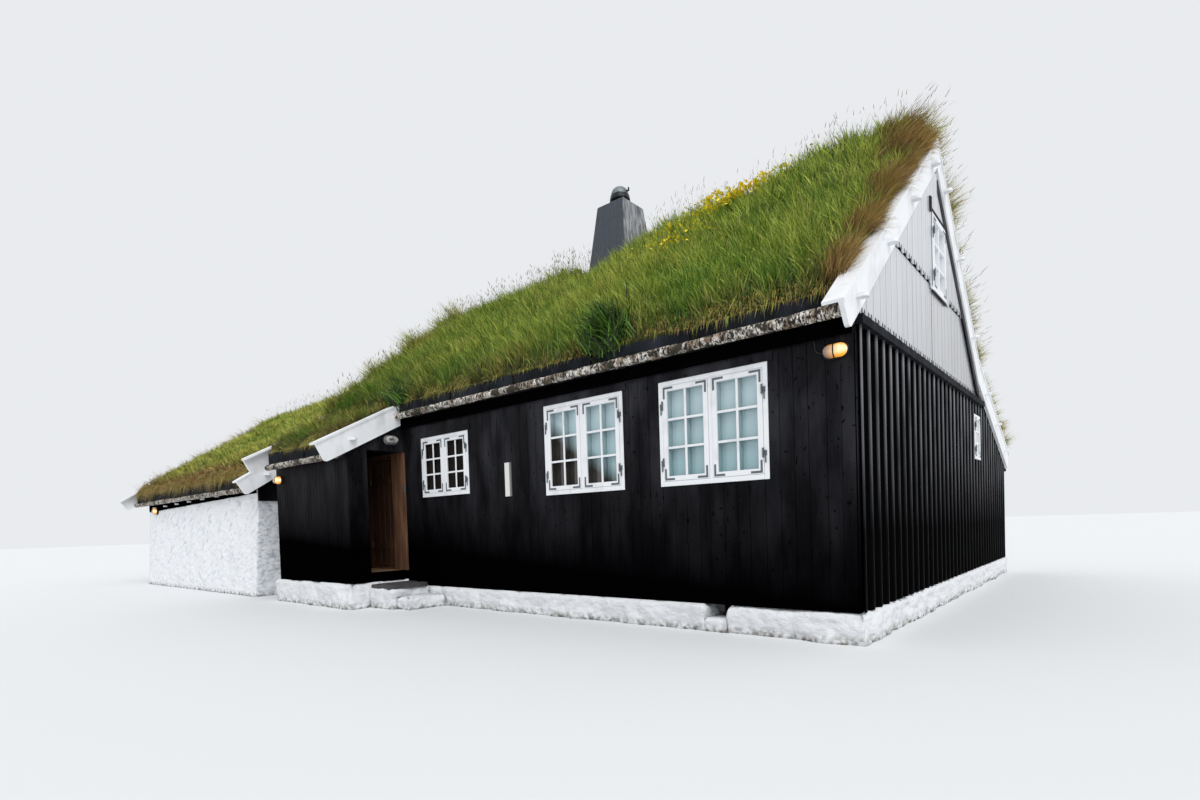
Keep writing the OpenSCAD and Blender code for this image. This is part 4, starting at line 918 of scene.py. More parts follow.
def masonry(name, replaced, plan, rough, top, look, seed, crown=0.0, planTop=None, lean=((0, 1), (0, 1))):
    # the wall's plan carried up: each level is the plan, blended from its foot to its top; the rough
    # sides bulge by 1 - exp(-k gap), a soft mound for each stone, over broad and fine waves; a crown
    # draws them in near the top by its radius times 1 - sqrt(1 - share^2)
    plan = np.array(plan, float)
    planTop = plan if planTop is None else np.array(planTop, float)
    low, high, mask = [], [], []
    for i, isRough in enumerate(rough):
        j = (i + 1) % len(plan)
        span = np.linalg.norm(plan[j] - plan[i])
        count = max(2, math.ceil(span / look["step"])) if isRough else 2
        t = np.arange(count)[:, None] / count
        low.append(plan[i] + (plan[j] - plan[i]) * t)
        high.append(planTop[i] + (planTop[j] - planTop[i]) * t)
        mask.append(np.full(count, float(isRough)))
    low, high, mask = np.concatenate(low), np.concatenate(high), np.concatenate(mask)
    peak = top(high[:, 0], high[:, 1])
    z = np.linspace(0, 1, max(4, math.ceil(peak.min() / look["step"])))[:, None] * peak
    share = np.interp(z, *lean)[..., None]
    loops = np.concatenate([low * (1 - share) + high * share, z[..., None]], -1)
    mound = 1 - np.exp(-look["joint"] * stoneGap(loops, np.array(look["stone"]), seed))
    waves = look["wave"] * ripple(loops, look["waveLong"], seed + 2)
    waves = waves + look["fine"] * ripple(loops, look["fineLong"], seed)
    fade = 1.0 if crown else np.clip((peak - z) / look["fade"], 0, 1)
    amount = (look["bulge"] * mound - look["depth"] + waves) * mask * fade
    if crown:
        rim = crown * (1 + look["ragged"] * ripple(high, look["nick"], seed + 5))
        nearTop = np.clip(1 - (peak - z) / rim, 0, 1)
        amount = amount - rim * (1 - np.sqrt(1 - nearTop ** 2)) * mask
    loops = pushOut(loops, amount)
    loops[0, :, 2] = 0.0
    loops[-1, :, 2] = peak
    makePiece(name, *loft(loops), lime, "whitewashed_stone", replaced, smooth=True)


def flatTop(z):
    # the top of a wall that has the same height z everywhere
    return lambda x, y: np.full(np.shape(x), z)


plinth, vent = houseBox("front_plinth"), houseBox("vent_sill")
houseLeft, plinthOut = plinth[0][:2]
plinthRight, plinthIn, plinthTop = plinth[1]
ventLeft, ventRight, ventTop = vent[0][0], vent[1][0], vent[1][2]
plinthThick = plinthIn - plinthOut
sideBack = houseBox("side_plinths")[1][1]
rearIn, rearFoot = houseBox("rear_wall")[0][1], houseBox("rear_wall")[1][1]
gableIn = houseBox("iron_gable")[0][0]
sideIn, leftSideIn, leftIn = plinthRight - plinthThick, houseLeft + plinthThick, houseLeft - gableIn
plinthSides, plinthNodes = (1, 1, 0, 0, 0, 0, 0, 1), ["front_plinth", "side_plinths"]
rightPlan = [(ventRight, plinthOut), (plinthRight, plinthOut), (plinthRight, sideBack), (gableIn, sideBack),
             (gableIn, rearIn), (sideIn, rearIn), (sideIn, plinthIn), (ventRight, plinthIn)]
leftPlan = [(houseLeft, plinthOut), (ventLeft, plinthOut), (ventLeft, plinthIn), (leftSideIn, plinthIn),
            (leftSideIn, rearIn), (leftIn, rearIn), (leftIn, sideBack), (houseLeft, sideBack)]
ventPlan = [(ventLeft, plinthOut), (ventRight, plinthOut), (ventRight, plinthIn), (ventLeft, plinthIn)]
masonry("right_plinth_stones", plinthNodes, rightPlan, plinthSides, flatTop(plinthTop), plinthLook, 2, 0.042)
masonry("left_plinth_stones", plinthNodes, leftPlan, plinthSides, flatTop(plinthTop), plinthLook, 3, 0.042)
masonry("vent_sill_stones", ["vent_sill"], ventPlan, (1, 0, 0, 0), flatTop(ventTop), plinthLook, 4, 0.02)

lobbyPlinth = houseBox("lobby_plinth")
(x0, y0), (x1, y1) = lobbyPlinth[0][:2], lobbyPlinth[1][:2]
lobbyThick = 0.25
xIn0, xIn1, yIn = x0 + lobbyThick, x1 - lobbyThick, y0 + lobbyThick
lobbyPlan = [(x0, y0), (x1, y0), (x1, y1), (xIn1, y1), (xIn1, yIn), (xIn0, yIn), (xIn0, y1), (x0, y1)]
masonry("lobby_plinth_stones", ["lobby_plinth"], lobbyPlan, plinthSides, flatTop(lobbyPlinth[1][2]),
        {**plinthLook, "wave": 0.045}, 5, 0.05)

rearPlan = [(leftIn, rearIn), (gableIn, rearIn), (gableIn, sideBack), (0, sideBack), (0, rearFoot),
            (houseLeft, rearFoot), (houseLeft, sideBack), (leftIn, sideBack)]
rearPlanTop = [(x, min(y, sideBack + 0.012)) for x, y in rearPlan]
rearLean = ((0, 0.87, under(mainRoof, sideBack, 0.05)), (0, 0.5, 1))
masonry("rear_stones", ["rear_wall"], rearPlan, (0, 0, 0, 1, 1, 1, 0, 0),
        lambda x, y: under(mainRoof, y, 0.05), masonryLook, 6, planTop=rearPlanTop, lean=rearLean)

wingNodes = ["wing_front_wall", "wing_return_wall", "wing_link_wall", "wing_left_wall", "wing_rear_wall"]
wingFront, wingReturn, wingLink, wingLeft, wingRear = (houseBox(name) for name in wingNodes)
stoneThick = wingLeft[1][0] - wingLeft[0][0]
wx0, wx1, wyFoot = wingFront[0][0], wingFront[1][0], wingFront[0][1]
wy0, wy1 = wingLeft[0][1] - stoneThick, wingRear[1][1]
inX, inY0, inY1 = wx0 + stoneThick, wy0 + stoneThick, wy1 - stoneThick
returnX, linkFront, linkBack = wingReturn[0][0], wingLink[0][1], wingLink[1][1]
wingPlanTop = [(wx0, wy0), (wx1, wy0), (wx1, linkFront), (houseLeft, linkFront), (houseLeft, linkBack),
               (returnX, linkBack), (returnX, inY0), (inX, inY0), (inX, inY1), (houseLeft, inY1),
               (houseLeft, wy1), (wx0, wy1)]
wingPlan = [(x, wyFoot if y == wy0 else y) for x, y in wingPlanTop]


def wingTop(x, y):
    # under the boarding, but level along the left wall, where boards stand on it
    onLeft = (x < inX + 0.01) & (y > inY0 + 0.01) & (y < inY1 - 0.01)
    return np.where(onLeft, wingLeft[1][2], under(wingRoof, y, 0.047))


masonry("wing_stones", wingNodes, wingPlan, (1, 1, 1, 0, 0, 0, 0, 0, 0, 0, 1, 1), wingTop,
        {**masonryLook, "step": 0.042}, 7, planTop=wingPlanTop, lean=((0, 1.5), (0, 1)))
print("stones laid")


# Boards

boardLook = {"front": 0.145, "lobby": 0.098, "left": 0.15, "gable": 0.19, "thick": 0.011, "edge": 0.0035,
             "glossThick": 0.012, "corner": 0.115, "bandFoot": 2.665, "lobbySlope": 0.524}
windows = [{"at": -1.407, "w": 1.230, "z": 1.482, "h": 1.094},  # middle, width, sill and height
           {"at": -3.126, "w": 1.230, "z": 1.482, "h": 1.094},
           {"at": -5.796, "w": 1.110, "z": 1.590, "h": 0.882}]
attic = {"at": 2.904, "w": 0.694, "z": 3.686, "h": 0.895}
sideWindow = {"at": 5.343, "w": 0.452, "z": 1.898, "h": 0.662}


def hole(window):
    # its left, right, sill and head
    half = window["w"] / 2
    return window["at"] - half, window["at"] + half, window["z"], window["z"] + window["h"]


def boarding(wall, *area, **more):
    # upright tarred boards over part of a wall
    return planks(wall, boardStrips(*area, **more), boardLook["thick"], boardLook["edge"])


bandFoot, cornerWide = boardLook["bandFoot"], boardLook["corner"]
frontBoards = boarding(frontWall, lobbyRight, -cornerWide, boardLook["front"], level(plinthTop + 0.002),
                       level(bandFoot), [hole(window) for window in windows], gap=0.004)
makePiece("front_boards", *frontBoards, tarred, "tarred_boards")
eaveShadow = [(lobbyRight + 0.02, 0.0, 0.0455, 0.052, bandFoot - 0.004, 2.80)]
makePiece("eave_shadow_board", *wallBlocks(frontWall, eaveShadow), shaded, "tarred_boards")
cornerBoard = [(-cornerWide, 0.014, 0, 0.018, plinthTop, bandFoot)]
soften(makePiece("corner_board", *wallBlocks(frontWall, cornerBoard), tarred, "tarred_boards"), 0.003)

lobbyFace, lobbyFoot = lobbyFront[0][1:]
lobbyPlane, lobbySide = wallPlane("front", y=lobbyFace), wallPlane("right", x=lobbyRight)
leftPlane, wingLeftPlane = wallPlane("left", x=houseLeft), wallPlane("left", x=wx0)


def underLobby(y):
    # the underside of the boarding, which rises at the same slope past the turf's last line
    return under(lobbyRoof, y, 0.046) + boardLook["lobbySlope"] * max(0.0, y - lobbyRoof["back"])


lobbyEave = underLobby(lobbyFace)
doorwayTop, doorwayFront = houseBox("over_doorway_wall")[0][2], lobbyFace + 0.298
foot, head, wide = level(lobbyFoot), level(doorwayTop), boardLook["lobby"]
lobbyCorner = [(lobbyRight - 0.05, lobbyRight + 0.014, 0, 0.016, lobbyFoot, lobbyEave - 0.002)]
makePiece("lobby_boards", *joined([
    boarding(lobbyPlane, houseLeft, lobbyRight - 0.05, wide, foot, level(lobbyEave), seed=4),
    boarding(lobbySide, lobbyFace, doorwayFront, wide, foot, head, seed=5),
    boarding(lobbySide, lobbyFace, -0.012, wide, head, underLobby, seed=6),
    boarding(leftPlane, 0.0, -lobbyFace, wide, foot, lambda a: underLobby(-a), seed=7),
    wallBlocks(lobbyPlane, lobbyCorner)]), tarred, "tarred_boards")
wide = boardLook["left"]
makePiece("left_boards", *joined([
    boarding(leftPlane, -sideBack, 0.0, wide, level(plinthTop), lambda a: under(mainRoof, -a), seed=8),
    boarding(wingLeftPlane, -inY1, -inY0, wide, level(wingLeft[1][2]), lambda a: under(wingRoof, -a),
             seed=9)]), tarred, "tarred_boards")


# Gable boards with notched feet

notch = {"high": 0.060, "tooth": 0.022, "lobe": 0.28, "rim": 0.15, "least": 0.09, "sliver": 0.004}
tierFoot, ledgeTop = houseBox("gable_boards_upper")[0][2], houseBox("gable_boards_lower")[0][2]
lowerFace, upperFace = houseBox("gable_boards_lower")[1][0], houseBox("gable_boards_upper")[1][0]
lowerPlane, upperPlane = wallPlane("right", x=lowerFace), wallPlane("right", x=upperFace)


def notchedBoards(wall, strips):
    # flat boards whose foot has two round-topped cuts, with a short tooth between them: the height of
    # a cut at each step across it is its full height times the root of the sine
    parts = []
    turn = np.linspace(math.pi, 0, 9)
    first = notch["high"] * np.sqrt(np.sin(turn).clip(0))
    second = first.copy()
    first[-1] = second[0] = notch["tooth"]
    for a0, a1, low0, low1, high0, high1, cut in strips:
        a, z = [a0, a1, a1, a0], [low0, low1, high1, high0]
        if cut and a1 - a0 > notch["least"]:
            lobe, rim = (a1 - a0) * notch["lobe"], (a1 - a0) * notch["rim"]
            arch = lobe / 2 * (1 + np.cos(turn))
            a = np.r_[a0, a0 + rim + arch, a1 - rim - lobe + arch, a1, a1, a0]
            z = np.r_[low0, low0 + first, low0 + second, low1, high1, high0]
        parts.append(loft(np.stack([onWall(wall, a, depth, z) for depth in (0.0, boardLook["glossThick"])])))
    return joined(parts)


def gableStrips(foot, cap, seed):
    # boards from the foot to the cap or the roof, marked as cut where they stand on the foot; a board
    # at the rake whose one side has run out of height keeps only a sliver there
    strips = boardStrips(0.0, 7.0, boardLook["gable"], level(foot), lambda y: min(cap, under(mainRoof, y)),
                         [hole(attic)], gap=0.009, seed=seed, vary=0.1)
    least = notch["sliver"]
    return [(a0, a1, low0, low1, max(high0, low0 + least), max(high1, low1 + least), low0 == foot)
            for a0, a1, low0, low1, high0, high1 in strips
            if high0 > low0 - 0.4 and max(high0 - low0, high1 - low1) > 0.03]


lowBoards = notchedBoards(lowerPlane, gableStrips(ledgeTop + 0.012, tierFoot + 0.02, 3))
makePiece("gable_boards_low_tier", *lowBoards, gloss, "glossy_boards")
topBoards = notchedBoards(upperPlane, gableStrips(tierFoot, 9.0, 5))
makePiece("gable_boards_top_tier", *topBoards, gloss, "glossy_boards")
# a tarred trim board along the rear rake under the bargeboard: partly a real board, partly painted shadow,
# the dark band the verge's shade makes on the gable
rake = [(2.86, 4.90), (5.17, 2.88), (5.36, 2.81), (5.36, 2.925), (5.25, 2.97), (2.86, 5.05)]
rakeY, rakeZ = np.transpose(rake)
rakeRows = [xyz(upperFace + out, rakeY, rakeZ) for out in (0.002, 0.020)]
makePiece("rear_rake_shadow_board", *loft(np.stack(rakeRows)), tarred, "tarred_boards")
print("boards nailed")


# Corrugated iron

wave = {"pitch": 0.219, "crest": 0.045, "deep": 0.022, "start": 0.014, "perWave": 18, "lift": 0.003,
        "gap": 0.006, "sheet": 0.0025}


def corrugated():
    # x = lift + deep (1 + cos of the phase): crests every pitch; the sheet is left out at the window
    left, right, sill, head = hole(sideWindow)
    cut = [left - wave["gap"], right + wave["gap"]]
    ys = np.arange(wave["start"], sideBack, wave["pitch"] / wave["perWave"])
    ys = np.unique(np.r_[ys, cut, sideBack])
    swing = np.cos(2 * math.pi * (ys - wave["crest"]) / wave["pitch"])
    top = np.minimum(under(mainRoof, ys, 0.05), houseBox("gable_ledge")[0][2] + 0.002)
    heights = (plinthTop + 0.004, sill - wave["gap"], np.minimum(head + wave["gap"], top - 0.01), top)
    points = np.stack([xyz(wave["lift"] + wave["deep"] * (1 + swing), ys, z) for z in heights])
    index = np.arange(points[..., 0].size).reshape(points.shape[:2])
    quads = np.stack([index[:-1, :-1], index[:-1, 1:], index[1:, 1:], index[1:, :-1]], -1)
    middle = (ys[:-1] + ys[1:]) / 2
    keep = np.ones(quads.shape[:2], bool)
    keep[1] = (middle < cut[0]) | (middle > cut[1])
    # the crest mark: where the sheet's painted highlight lies, near the top of each wave
    crest = np.clip(swing * 1.8 - 0.8, 0, 1)
    marks = {"crest": np.broadcast_to(crest[None, :, None], points.shape)}
    piece = makePiece("gable_iron_sheet", points.reshape(-1, 3), [quads[keep]], sheetIron, "corrugated_iron",
                      smooth=True, marks=marks)
    thick = piece.modifiers.new("sheetThickness", "SOLIDIFY")
    thick.thickness, thick.offset = wave["sheet"], -1


corrugated()
cornerStrip = [(-0.018, 0.055, 0, 0.010, plinthTop, ledgeTop - 0.075)]
makePiece("gable_corner_strip", *wallBlocks(gableWall, cornerStrip), tarred, "tarred_boards")


# Bark rolls

rollLook = {"radius": 0.054, "ring": 0.11, "around": 30, "step": 0.022,
            "thick": ((-4.0, -1.2, -0.2), (0.80, 0.90, 1.02)), "deckHigh": 0.045}


def barkRoll(x0, x1, y, z, seed):
    # a circle carried along x: the radius swells in each ring by 1 - sag^6, where sag grows from 0 in
    # the ring's middle to 1 at its joints, over small waves of peeling bark
    xs = np.linspace(x0, x1, round((x1 - x0) / rollLook["step"]))
    gridX, angle = np.meshgrid(xs, circle(rollLook["around"]), indexing="ij")
    joints = gridX / rollLook["ring"] + 0.6 * ripple(gridX[..., None] * np.ones(2), 0.25, seed)
    sag = np.abs((joints % 1.0) - 0.5) * 2
    place = xyz(gridX, np.cos(angle) * 0.1, np.sin(angle) * 0.1)
    thick = np.interp(gridX, *rollLook["thick"]) + 0.06 * ripple(place, 0.3, seed + 2)
    peel = 0.006 * ripple(place, 0.06, seed) + 0.004 * ripple(place, 0.02, seed + 1)
    radius = rollLook["radius"] * (thick + 0.05 * (1 - sag ** 6)) + peel
    return loft(xyz(gridX, y + radius * np.cos(angle), z + radius * np.sin(angle)))


rolls = []
for seed, (roof, x0, out, rise) in enumerate([(mainRoof, lobbyRight + 0.09, 0.0543, 0.030),
                                              (lobbyRoof, lobbyRoof["x"][0], 0.0505, -0.020),
                                              (wingRoof, wingRoof["x"][0], 0.0505, -0.020)]):
    high = under(roof, roof["eave"], rollLook["deckHigh"] - rise)
    rolls.append(barkRoll(x0, roof["x"][1], roof["eave"] - out, high, seed + 61))
makePiece("bark_roll_skins", *joined(rolls), bark, "birch_bark", ["bark_rolls"], smooth=True)
print("iron and bark done")

wingPlane = wallPlane("front", y=wy0)


def wingEave():
    # a dark plate along the top of the low wall, deeper towards the far end, with pale rafter ends on it;
    # the plate is partly a real wall plate and partly painted shade under the eave, in the near-black finish
    top = float(wingTop(np.array([wx1]), np.array([wy0]))[0]) - 0.004
    x0, x1 = wx0 + 0.02, wx1 - 0.02
    outline = np.array([[x0, top - 0.25], [x1, top - 0.13], [x1, top], [x0, top]])
    rows = [onWall(wingPlane, outline[:, 0], depth, outline[:, 1]) for depth in (-0.02, 0.026)]
    makePiece("wing_eave_shade_plate", *loft(np.stack(rows)), shaded, "roof_boards")
    at = np.arange(wx0 + 0.55, wx1 - 0.3, 0.8)
    feet = np.interp(at, [x0, x1], outline[:2, 1]) + 0.05
    ends = [(x, x + 0.032, 0.026, 0.095, low, low + 0.035) for x, low in zip(at, feet)]
    soften(makePiece("wing_rafter_ends", *wallBlocks(wingPlane, ends), white, "white_paint"), 0.004)


wingEave()


# Windows

windowLook = {"casements": 2, "trim": 0.050, "post": 0.044, "gap": 0.003, "stile": 0.052, "bar": 0.025,
              "proud": 0.016, "deep": 0.074, "bracket": 0.120, "bracketWide": 0.021, "plate": 0.0025,
              "putty": 0.022, "inset": 0.010}
atticLook = {**windowLook, "casements": 1, "trim": 0.036, "stile": 0.040}
sideLook = {**atticLook, "trim": 0.03, "stile": 0.036, "bracket": 0.08, "bracketWide": 0.016}


def windowBlocks(window, look):
    # frame, casements with bars, and iron fittings as rows of blocks on the wall
    wood, inner, fittings = [], [], []
    left, right, z, top = hole(window)
    a, post, trim, stile = window["at"], look["post"] / 2, look["trim"], look["stile"]
    deep, face = -look["deep"], look["proud"]
    wood += [(left, left + trim, deep, face, z, top), (right - trim, right, deep, face, z, top),
             (left + trim, right - trim, deep, face, top - trim, top),
             (left + trim, right - trim, deep, face + 0.008, z, z + trim)]
    spans = [(left + trim, right - trim)]
    if look["casements"] == 2:
        wood.append((a - post, a + post, deep, face - 0.002, z + trim, top - trim))
        spans = [(left + trim, a - post), (a + post, right - trim)]
    low, high = z + trim + look["gap"], top - trim - look["gap"]
    out, bar = face + 0.006, look["bar"] / 2
    back, plate = out - look["putty"], out + look["plate"]
    for number, (c0, c1) in enumerate(spans):
        c0, c1 = c0 + look["gap"], c1 - look["gap"]
        middle = (c0 + c1) / 2
        sash = [(c0, c0 + stile, low, high), (c1 - stile, c1, low, high),
                (c0 + stile, c1 - stile, low, low + stile), (c0 + stile, c1 - stile, high - stile, high)]
        bars = [(middle - bar, middle + bar, low + stile, high - stile)]
        for k in (1, 2):
            at = low + stile + (high - low - 2 * stile) * k / 3
            bars.append((c0 + stile, c1 - stile, at - bar, at + bar))
        wood += [(p, q, back, out, r, s) for p, q, r, s in sash]
        wood += [(p, q, back, out - 0.010 - 0.001 * n, r, s) for n, (p, q, r, s) in enumerate(bars)]
        inner += [(p, q, deep + 0.001 * n, back, r, s) for n, (p, q, r, s) in enumerate(sash + bars)]
        leg, wide = min(look["bracket"], (c1 - c0) * 0.42), look["bracketWide"]
        for s, e in ((1, c0 + look["inset"]), (-1, c1 - look["inset"])):
            for t, f in ((1, low + look["inset"]), (-1, high - look["inset"])):
                fittings += [(e, e + s * leg, out, plate, f, f + t * wide),
                             (e, e + s * wide, out, plate, f + t * wide, f + t * leg)]
        hinged, way = (c0, -1) if number == 0 else (c1, 1)
        for share in (0.2, 0.8):
            at = low + (high - low) * share
            fittings += [(hinged - 0.007, hinged + 0.007, out, out + 0.014, at - 0.045, at + 0.045),
                         (hinged, hinged + way * 0.034, face, face + 0.006, at - 0.028, at + 0.022),
                         (hinged + way * 0.016, hinged + way * 0.026, face + 0.003, face + 0.012,
                          at - 0.095, at - 0.028)]
    return wood, inner, np.sort(np.reshape(fittings, (-1, 3, 2)), 2).reshape(-1, 6).tolist()


wood, inner, fittings = [sum(rows, []) for rows in zip(*(windowBlocks(w, windowLook) for w in windows))]
frames = wallBlocks(frontWall, wood)
soften(makePiece("front_window_frames", *frames, white, "white_paint", ["front_windows"]), 0.003)
makePiece("front_window_inner_bars", *wallBlocks(frontWall, inner), innerPaint, "bare_wood")
makePiece("front_window_irons", *wallBlocks(frontWall, fittings), iron, "lamp_shell")

atticPlane = wallPlane("right", x=houseBox("gable_windows")[1][0] - windowLook["proud"])
gableSets = [(atticPlane, *windowBlocks(attic, atticLook)),
             (wallPlane("right", x=0.032), *windowBlocks(sideWindow, sideLook))]
frames = joined([wallBlocks(wall, wood + inner) for wall, wood, inner, irons in gableSets])
soften(makePiece("gable_window_frames", *frames, white, "white_paint", ["gable_windows"]), 0.002)
gableIrons = joined([wallBlocks(wall, irons) for wall, wood, inner, irons in gableSets])
makePiece("gable_window_irons", *gableIrons, iron, "lamp_shell")
left, right, sill, head = hole(attic)
makePiece("attic_drip_board", *wallBlocks(upperPlane, [
    (left - 0.05, right + 0.05, 0, 0.026, head + 0.004, head + 0.020),
    (left - 0.11, left - 0.05, 0, 0.030, head - 0.03, head + 0.13),
    (left - 0.022, left - 0.008, 0.010, 0.015, tierFoot, head),
    (left - 0.022, left - 0.008, -0.020, -0.003, ledgeTop, tierFoot),
    (left, right, 0.0, 0.018, sill - 0.020, sill - 0.004)]), tarred, "tarred_boards")
print("windows hung")


# Lamps

lampLook = {"long": 0.24, "high": 0.15, "back": 0.035, "glass": 0.065, "rim": 0.016, "around": 40,
            "draw": 0.035, "band": 0.006}


def stadiumLoft(wall, a, z, stations):
    # an oblong with round ends at each depth, drawn in by its inset
    turn = circle(lampLook["around"])
    shift = np.where(np.cos(turn) > 0, 1, -1) * (lampLook["long"] - lampLook["high"]) / 2
    loops = []
    for depth, inset in stations:
        r = lampLook["high"] / 2 - inset
        loops.append(onWall(wall, a + r * np.cos(turn) + shift, depth, z + r * np.sin(turn)))
    return loft(np.stack(loops))


def lamp(number, wall, a, z, lit):
    # an oblong shell, a domed glass whose inset grows by 1 - cos as it rises by sin, and a thin band
    # over the dome's middle; the glass carries how near each point is to the bulb
    p = lampLook
    back, band = p["back"], p["band"]
    base = stadiumLoft(wall, a, z, [(0, 0.0), (back * 0.7, 0.0), (back, 0.006), (back + 0.004, 0.014)])
    arc = np.linspace(0, math.pi / 2, 7)
    points, faces = stadiumLoft(wall, a, z, [(back + p["glass"] * math.sin(t),
                                              p["rim"] + p["draw"] * (1 - math.cos(t))) for t in arc])
    turn = np.linspace(0, math.pi, 15)
    up = (p["high"] / 2 - p["rim"] + 0.008) * np.cos(turn)
    out = back + (p["glass"] + band) * np.sin(turn) ** 0.6
    edges = ((-0.005, 0.0), (0.005, 0.0), (0.005, band), (-0.005, band))
    strap = [onWall(wall, a + side, out - inner, z + up * (1 - inner * 4)) for side, inner in edges]
    shellParts = joined([base, loft(np.stack(strap, 1))])
    makePiece(f"lamp_{number}_shell", *shellParts, shell if lit else greyShell, "lamp_shell", ["wall_lamps"],
              smooth=True)
    along = (points - onWall(wall, a, 0.0, z)) @ wall[1] / p["long"]
    upright = abs(points[:, 2] - z) / p["high"]
    middle = np.clip(1 - upright * 2.6 - abs(along - 0.12), 0, 1)
    bulb = xyz(np.clip(along * 3.2 + 0.75, 0, 1), middle, 0.0)
    makePiece(f"lamp_{number}_glass", points, faces, litGlass if lit else dullGlass, "lamp_shell",
              smooth=True, marks={"bulb": bulb})


lamp(1, frontWall, -0.150, 2.538, True)
lamp(2, lobbySide, -0.250, 2.480, False)
lamp(3, lobbyPlane, houseLeft + 0.140, 2.000, True)
lamp(4, wingPlane, wx0 + 0.544, 1.750, True)


def tube(path, radius, around=10):
    # a circle carried along a path, square to it at every point
    path = np.array(path, float)
    ahead = unit(np.gradient(path, axis=0))
    aside = unit(np.cross(ahead, [0.3, 0.9, 0.1]))
    other = np.cross(ahead, aside)
    turn = circle(around)[:, None]
    return loft(path[:, None] + radius * (np.cos(turn) * aside[:, None] + np.sin(turn) * other[:, None]))


cableX = -0.335
cable = [(cableX, -0.030, 2.668), (cableX, -0.024, 2.62)]
cable += [(cableX + 0.075 * (1 - math.cos(t)), -0.022, 2.60 - 0.062 * math.sin(t))
          for t in np.linspace(0, math.pi / 2, 9)]
makePiece("lamp_cable", *tube(cable, 0.006), rubber, "lamp_shell", smooth=True)


# Chimney and cowl

claddingLook = {"topHalf": 0.2575, "low": 5.12, "across": 40, "seamHalf": 0.055, "bevel": 0.010}


def chimneyCladding():
    # a square ring carried up the taper, sunk at the seams between its boards
    foot = (chimneyBox[1][0] - chimneyBox[0][0]) / 2
    base, top = chimneyBox[0][2], chimneyBox[1][2]
    topHalf, low, count = (claddingLook[key] for key in ("topHalf", "low", "across"))
    t = (np.arange(count) + 0.5) / count * 2 - 1
    t = np.r_[-1, t[1:-1], 1]
    edge = np.ones(count)
    sideways = ((t, -edge), (edge, t), (-t, edge), (-edge, -t))
    ring = np.concatenate([np.stack(pair, -1)[:-1] for pair in sideways])
    phase = (np.tile(t[:-1], 4) + 1) / 2 * chimneyLook["boards"]
    seam = np.abs(phase - np.round(phase)) < claddingLook["seamHalf"]
    inner = (np.round(phase) > 0) & (np.round(phase) < chimneyLook["boards"])
    sunk = np.where(seam & inner, chimneyLook["seam"], 0.0)
    levels = np.array([low, low + 0.3, low + 0.6, low + 0.9, top - 0.012, top + 0.002])
    half = topHalf + (foot - topHalf) * (top - levels) / (top - base) + chimneyLook["proud"]
    half[-1] -= claddingLook["bevel"]
    flat = ring * (half[:, None] - sunk)[..., None]
    return loft(xyz(flat[..., 0] + chimneyLook["x"], flat[..., 1] + chimneyLook["y"], levels[:, None]))


chimneyPoints, chimneyFaces = chimneyCladding()
fromMiddle = chimneyPoints - (chimneyLook["x"], chimneyLook["y"], 0)
# painted light: the +x side, towards the light, is marked for the paler colour
litSide = (fromMiddle[:, :1] > abs(fromMiddle[:, 1:2]) - 1e-4) * np.ones(3)
makePiece("chimney_boards", chimneyPoints, chimneyFaces, chimneySkin, "chimney_slate",
          marks={"litSide": litSide})


def revolved(profile, x, y, base, around=36):
    # a profile of radius and height turned about an upright axis
    turn = circle(around)
    radius, z = np.hsplit(np.array(profile), 2)
    return loft(xyz(x + radius * np.cos(turn), y + radius * np.sin(turn), base + z))


cowlX, cowlY, cowlZ = chimneyLook["x"], chimneyLook["y"], chimneyBox[1][2]
cowlTop = houseBox("cowl")[1][2] - cowlZ
drum = [(0.145, 0.018), (0.145, 0.05), (0.132, 0.06), (0.132, 0.095), (0.160, 0.105), (0.168, 0.115),
        (0.168, 0.135), (0.158, 0.175), (0.158, 0.185), (0.148, 0.195)]
dome = [drum[-1]] + [(0.146 * math.cos(t) ** 0.8, 0.200 + (cowlTop - 0.206) * math.sin(t))
                     for t in np.linspace(0, math.pi / 2, 10)[:-1]]
dome += [(0.022, cowlTop - 0.004), (0.012, cowlTop)]
cowlBlocks = [(-0.2275, 0.2275, -0.2275, 0.2275, cowlZ + 0.002, cowlZ + 0.02),
              (0.12, 0.19, -0.012, 0.012, cowlZ + 0.22, cowlZ + 0.238),
              (0.175, 0.19, -0.012, 0.012, cowlZ + 0.238, cowlZ + 0.275)]
cowlParts = [revolved(drum, cowlX, cowlY, cowlZ), wallBlocks(wallPlane("front", cowlX, cowlY), cowlBlocks)]
makePiece("cowl_drum", *joined(cowlParts), darkIron, "dark_iron", ["cowl"])
makePiece("cowl_dome", *revolved(dome, cowlX, cowlY, cowlZ), zinc, "dark_iron", ["cowl"], smooth=True)
print("lamps, chimney and cowl done")


# Steps and door

stepLook = {**plinthLook, "stone": (0.4, 0.35, 0.14), "upperLong": 0.56, "setBack": 0.06}
step = houseBox("door_step")
(sx0, sy0), (sx1, sy1) = step[0][:2], step[1][:2]
sx, sy = sx0 + stepLook["upperLong"], sy0 + stepLook["setBack"]
upper = [(sx0, sy0), (sx, sy0), (sx, sy1), (sx0, sy1)]
lower = [(sx, sy), (sx1, sy), (sx1, sy1), (sx, sy1)]
masonry("upper_step_stones", ["door_step"], upper, (1, 1, 1, 0), flatTop(0.285), stepLook, 8, 0.02)
masonry("lower_step_stones", ["door_step"], lower, (1, 1, 1, 0), flatTop(step[1][2] / 2 + 0.004), stepLook, 9,
        0.03)


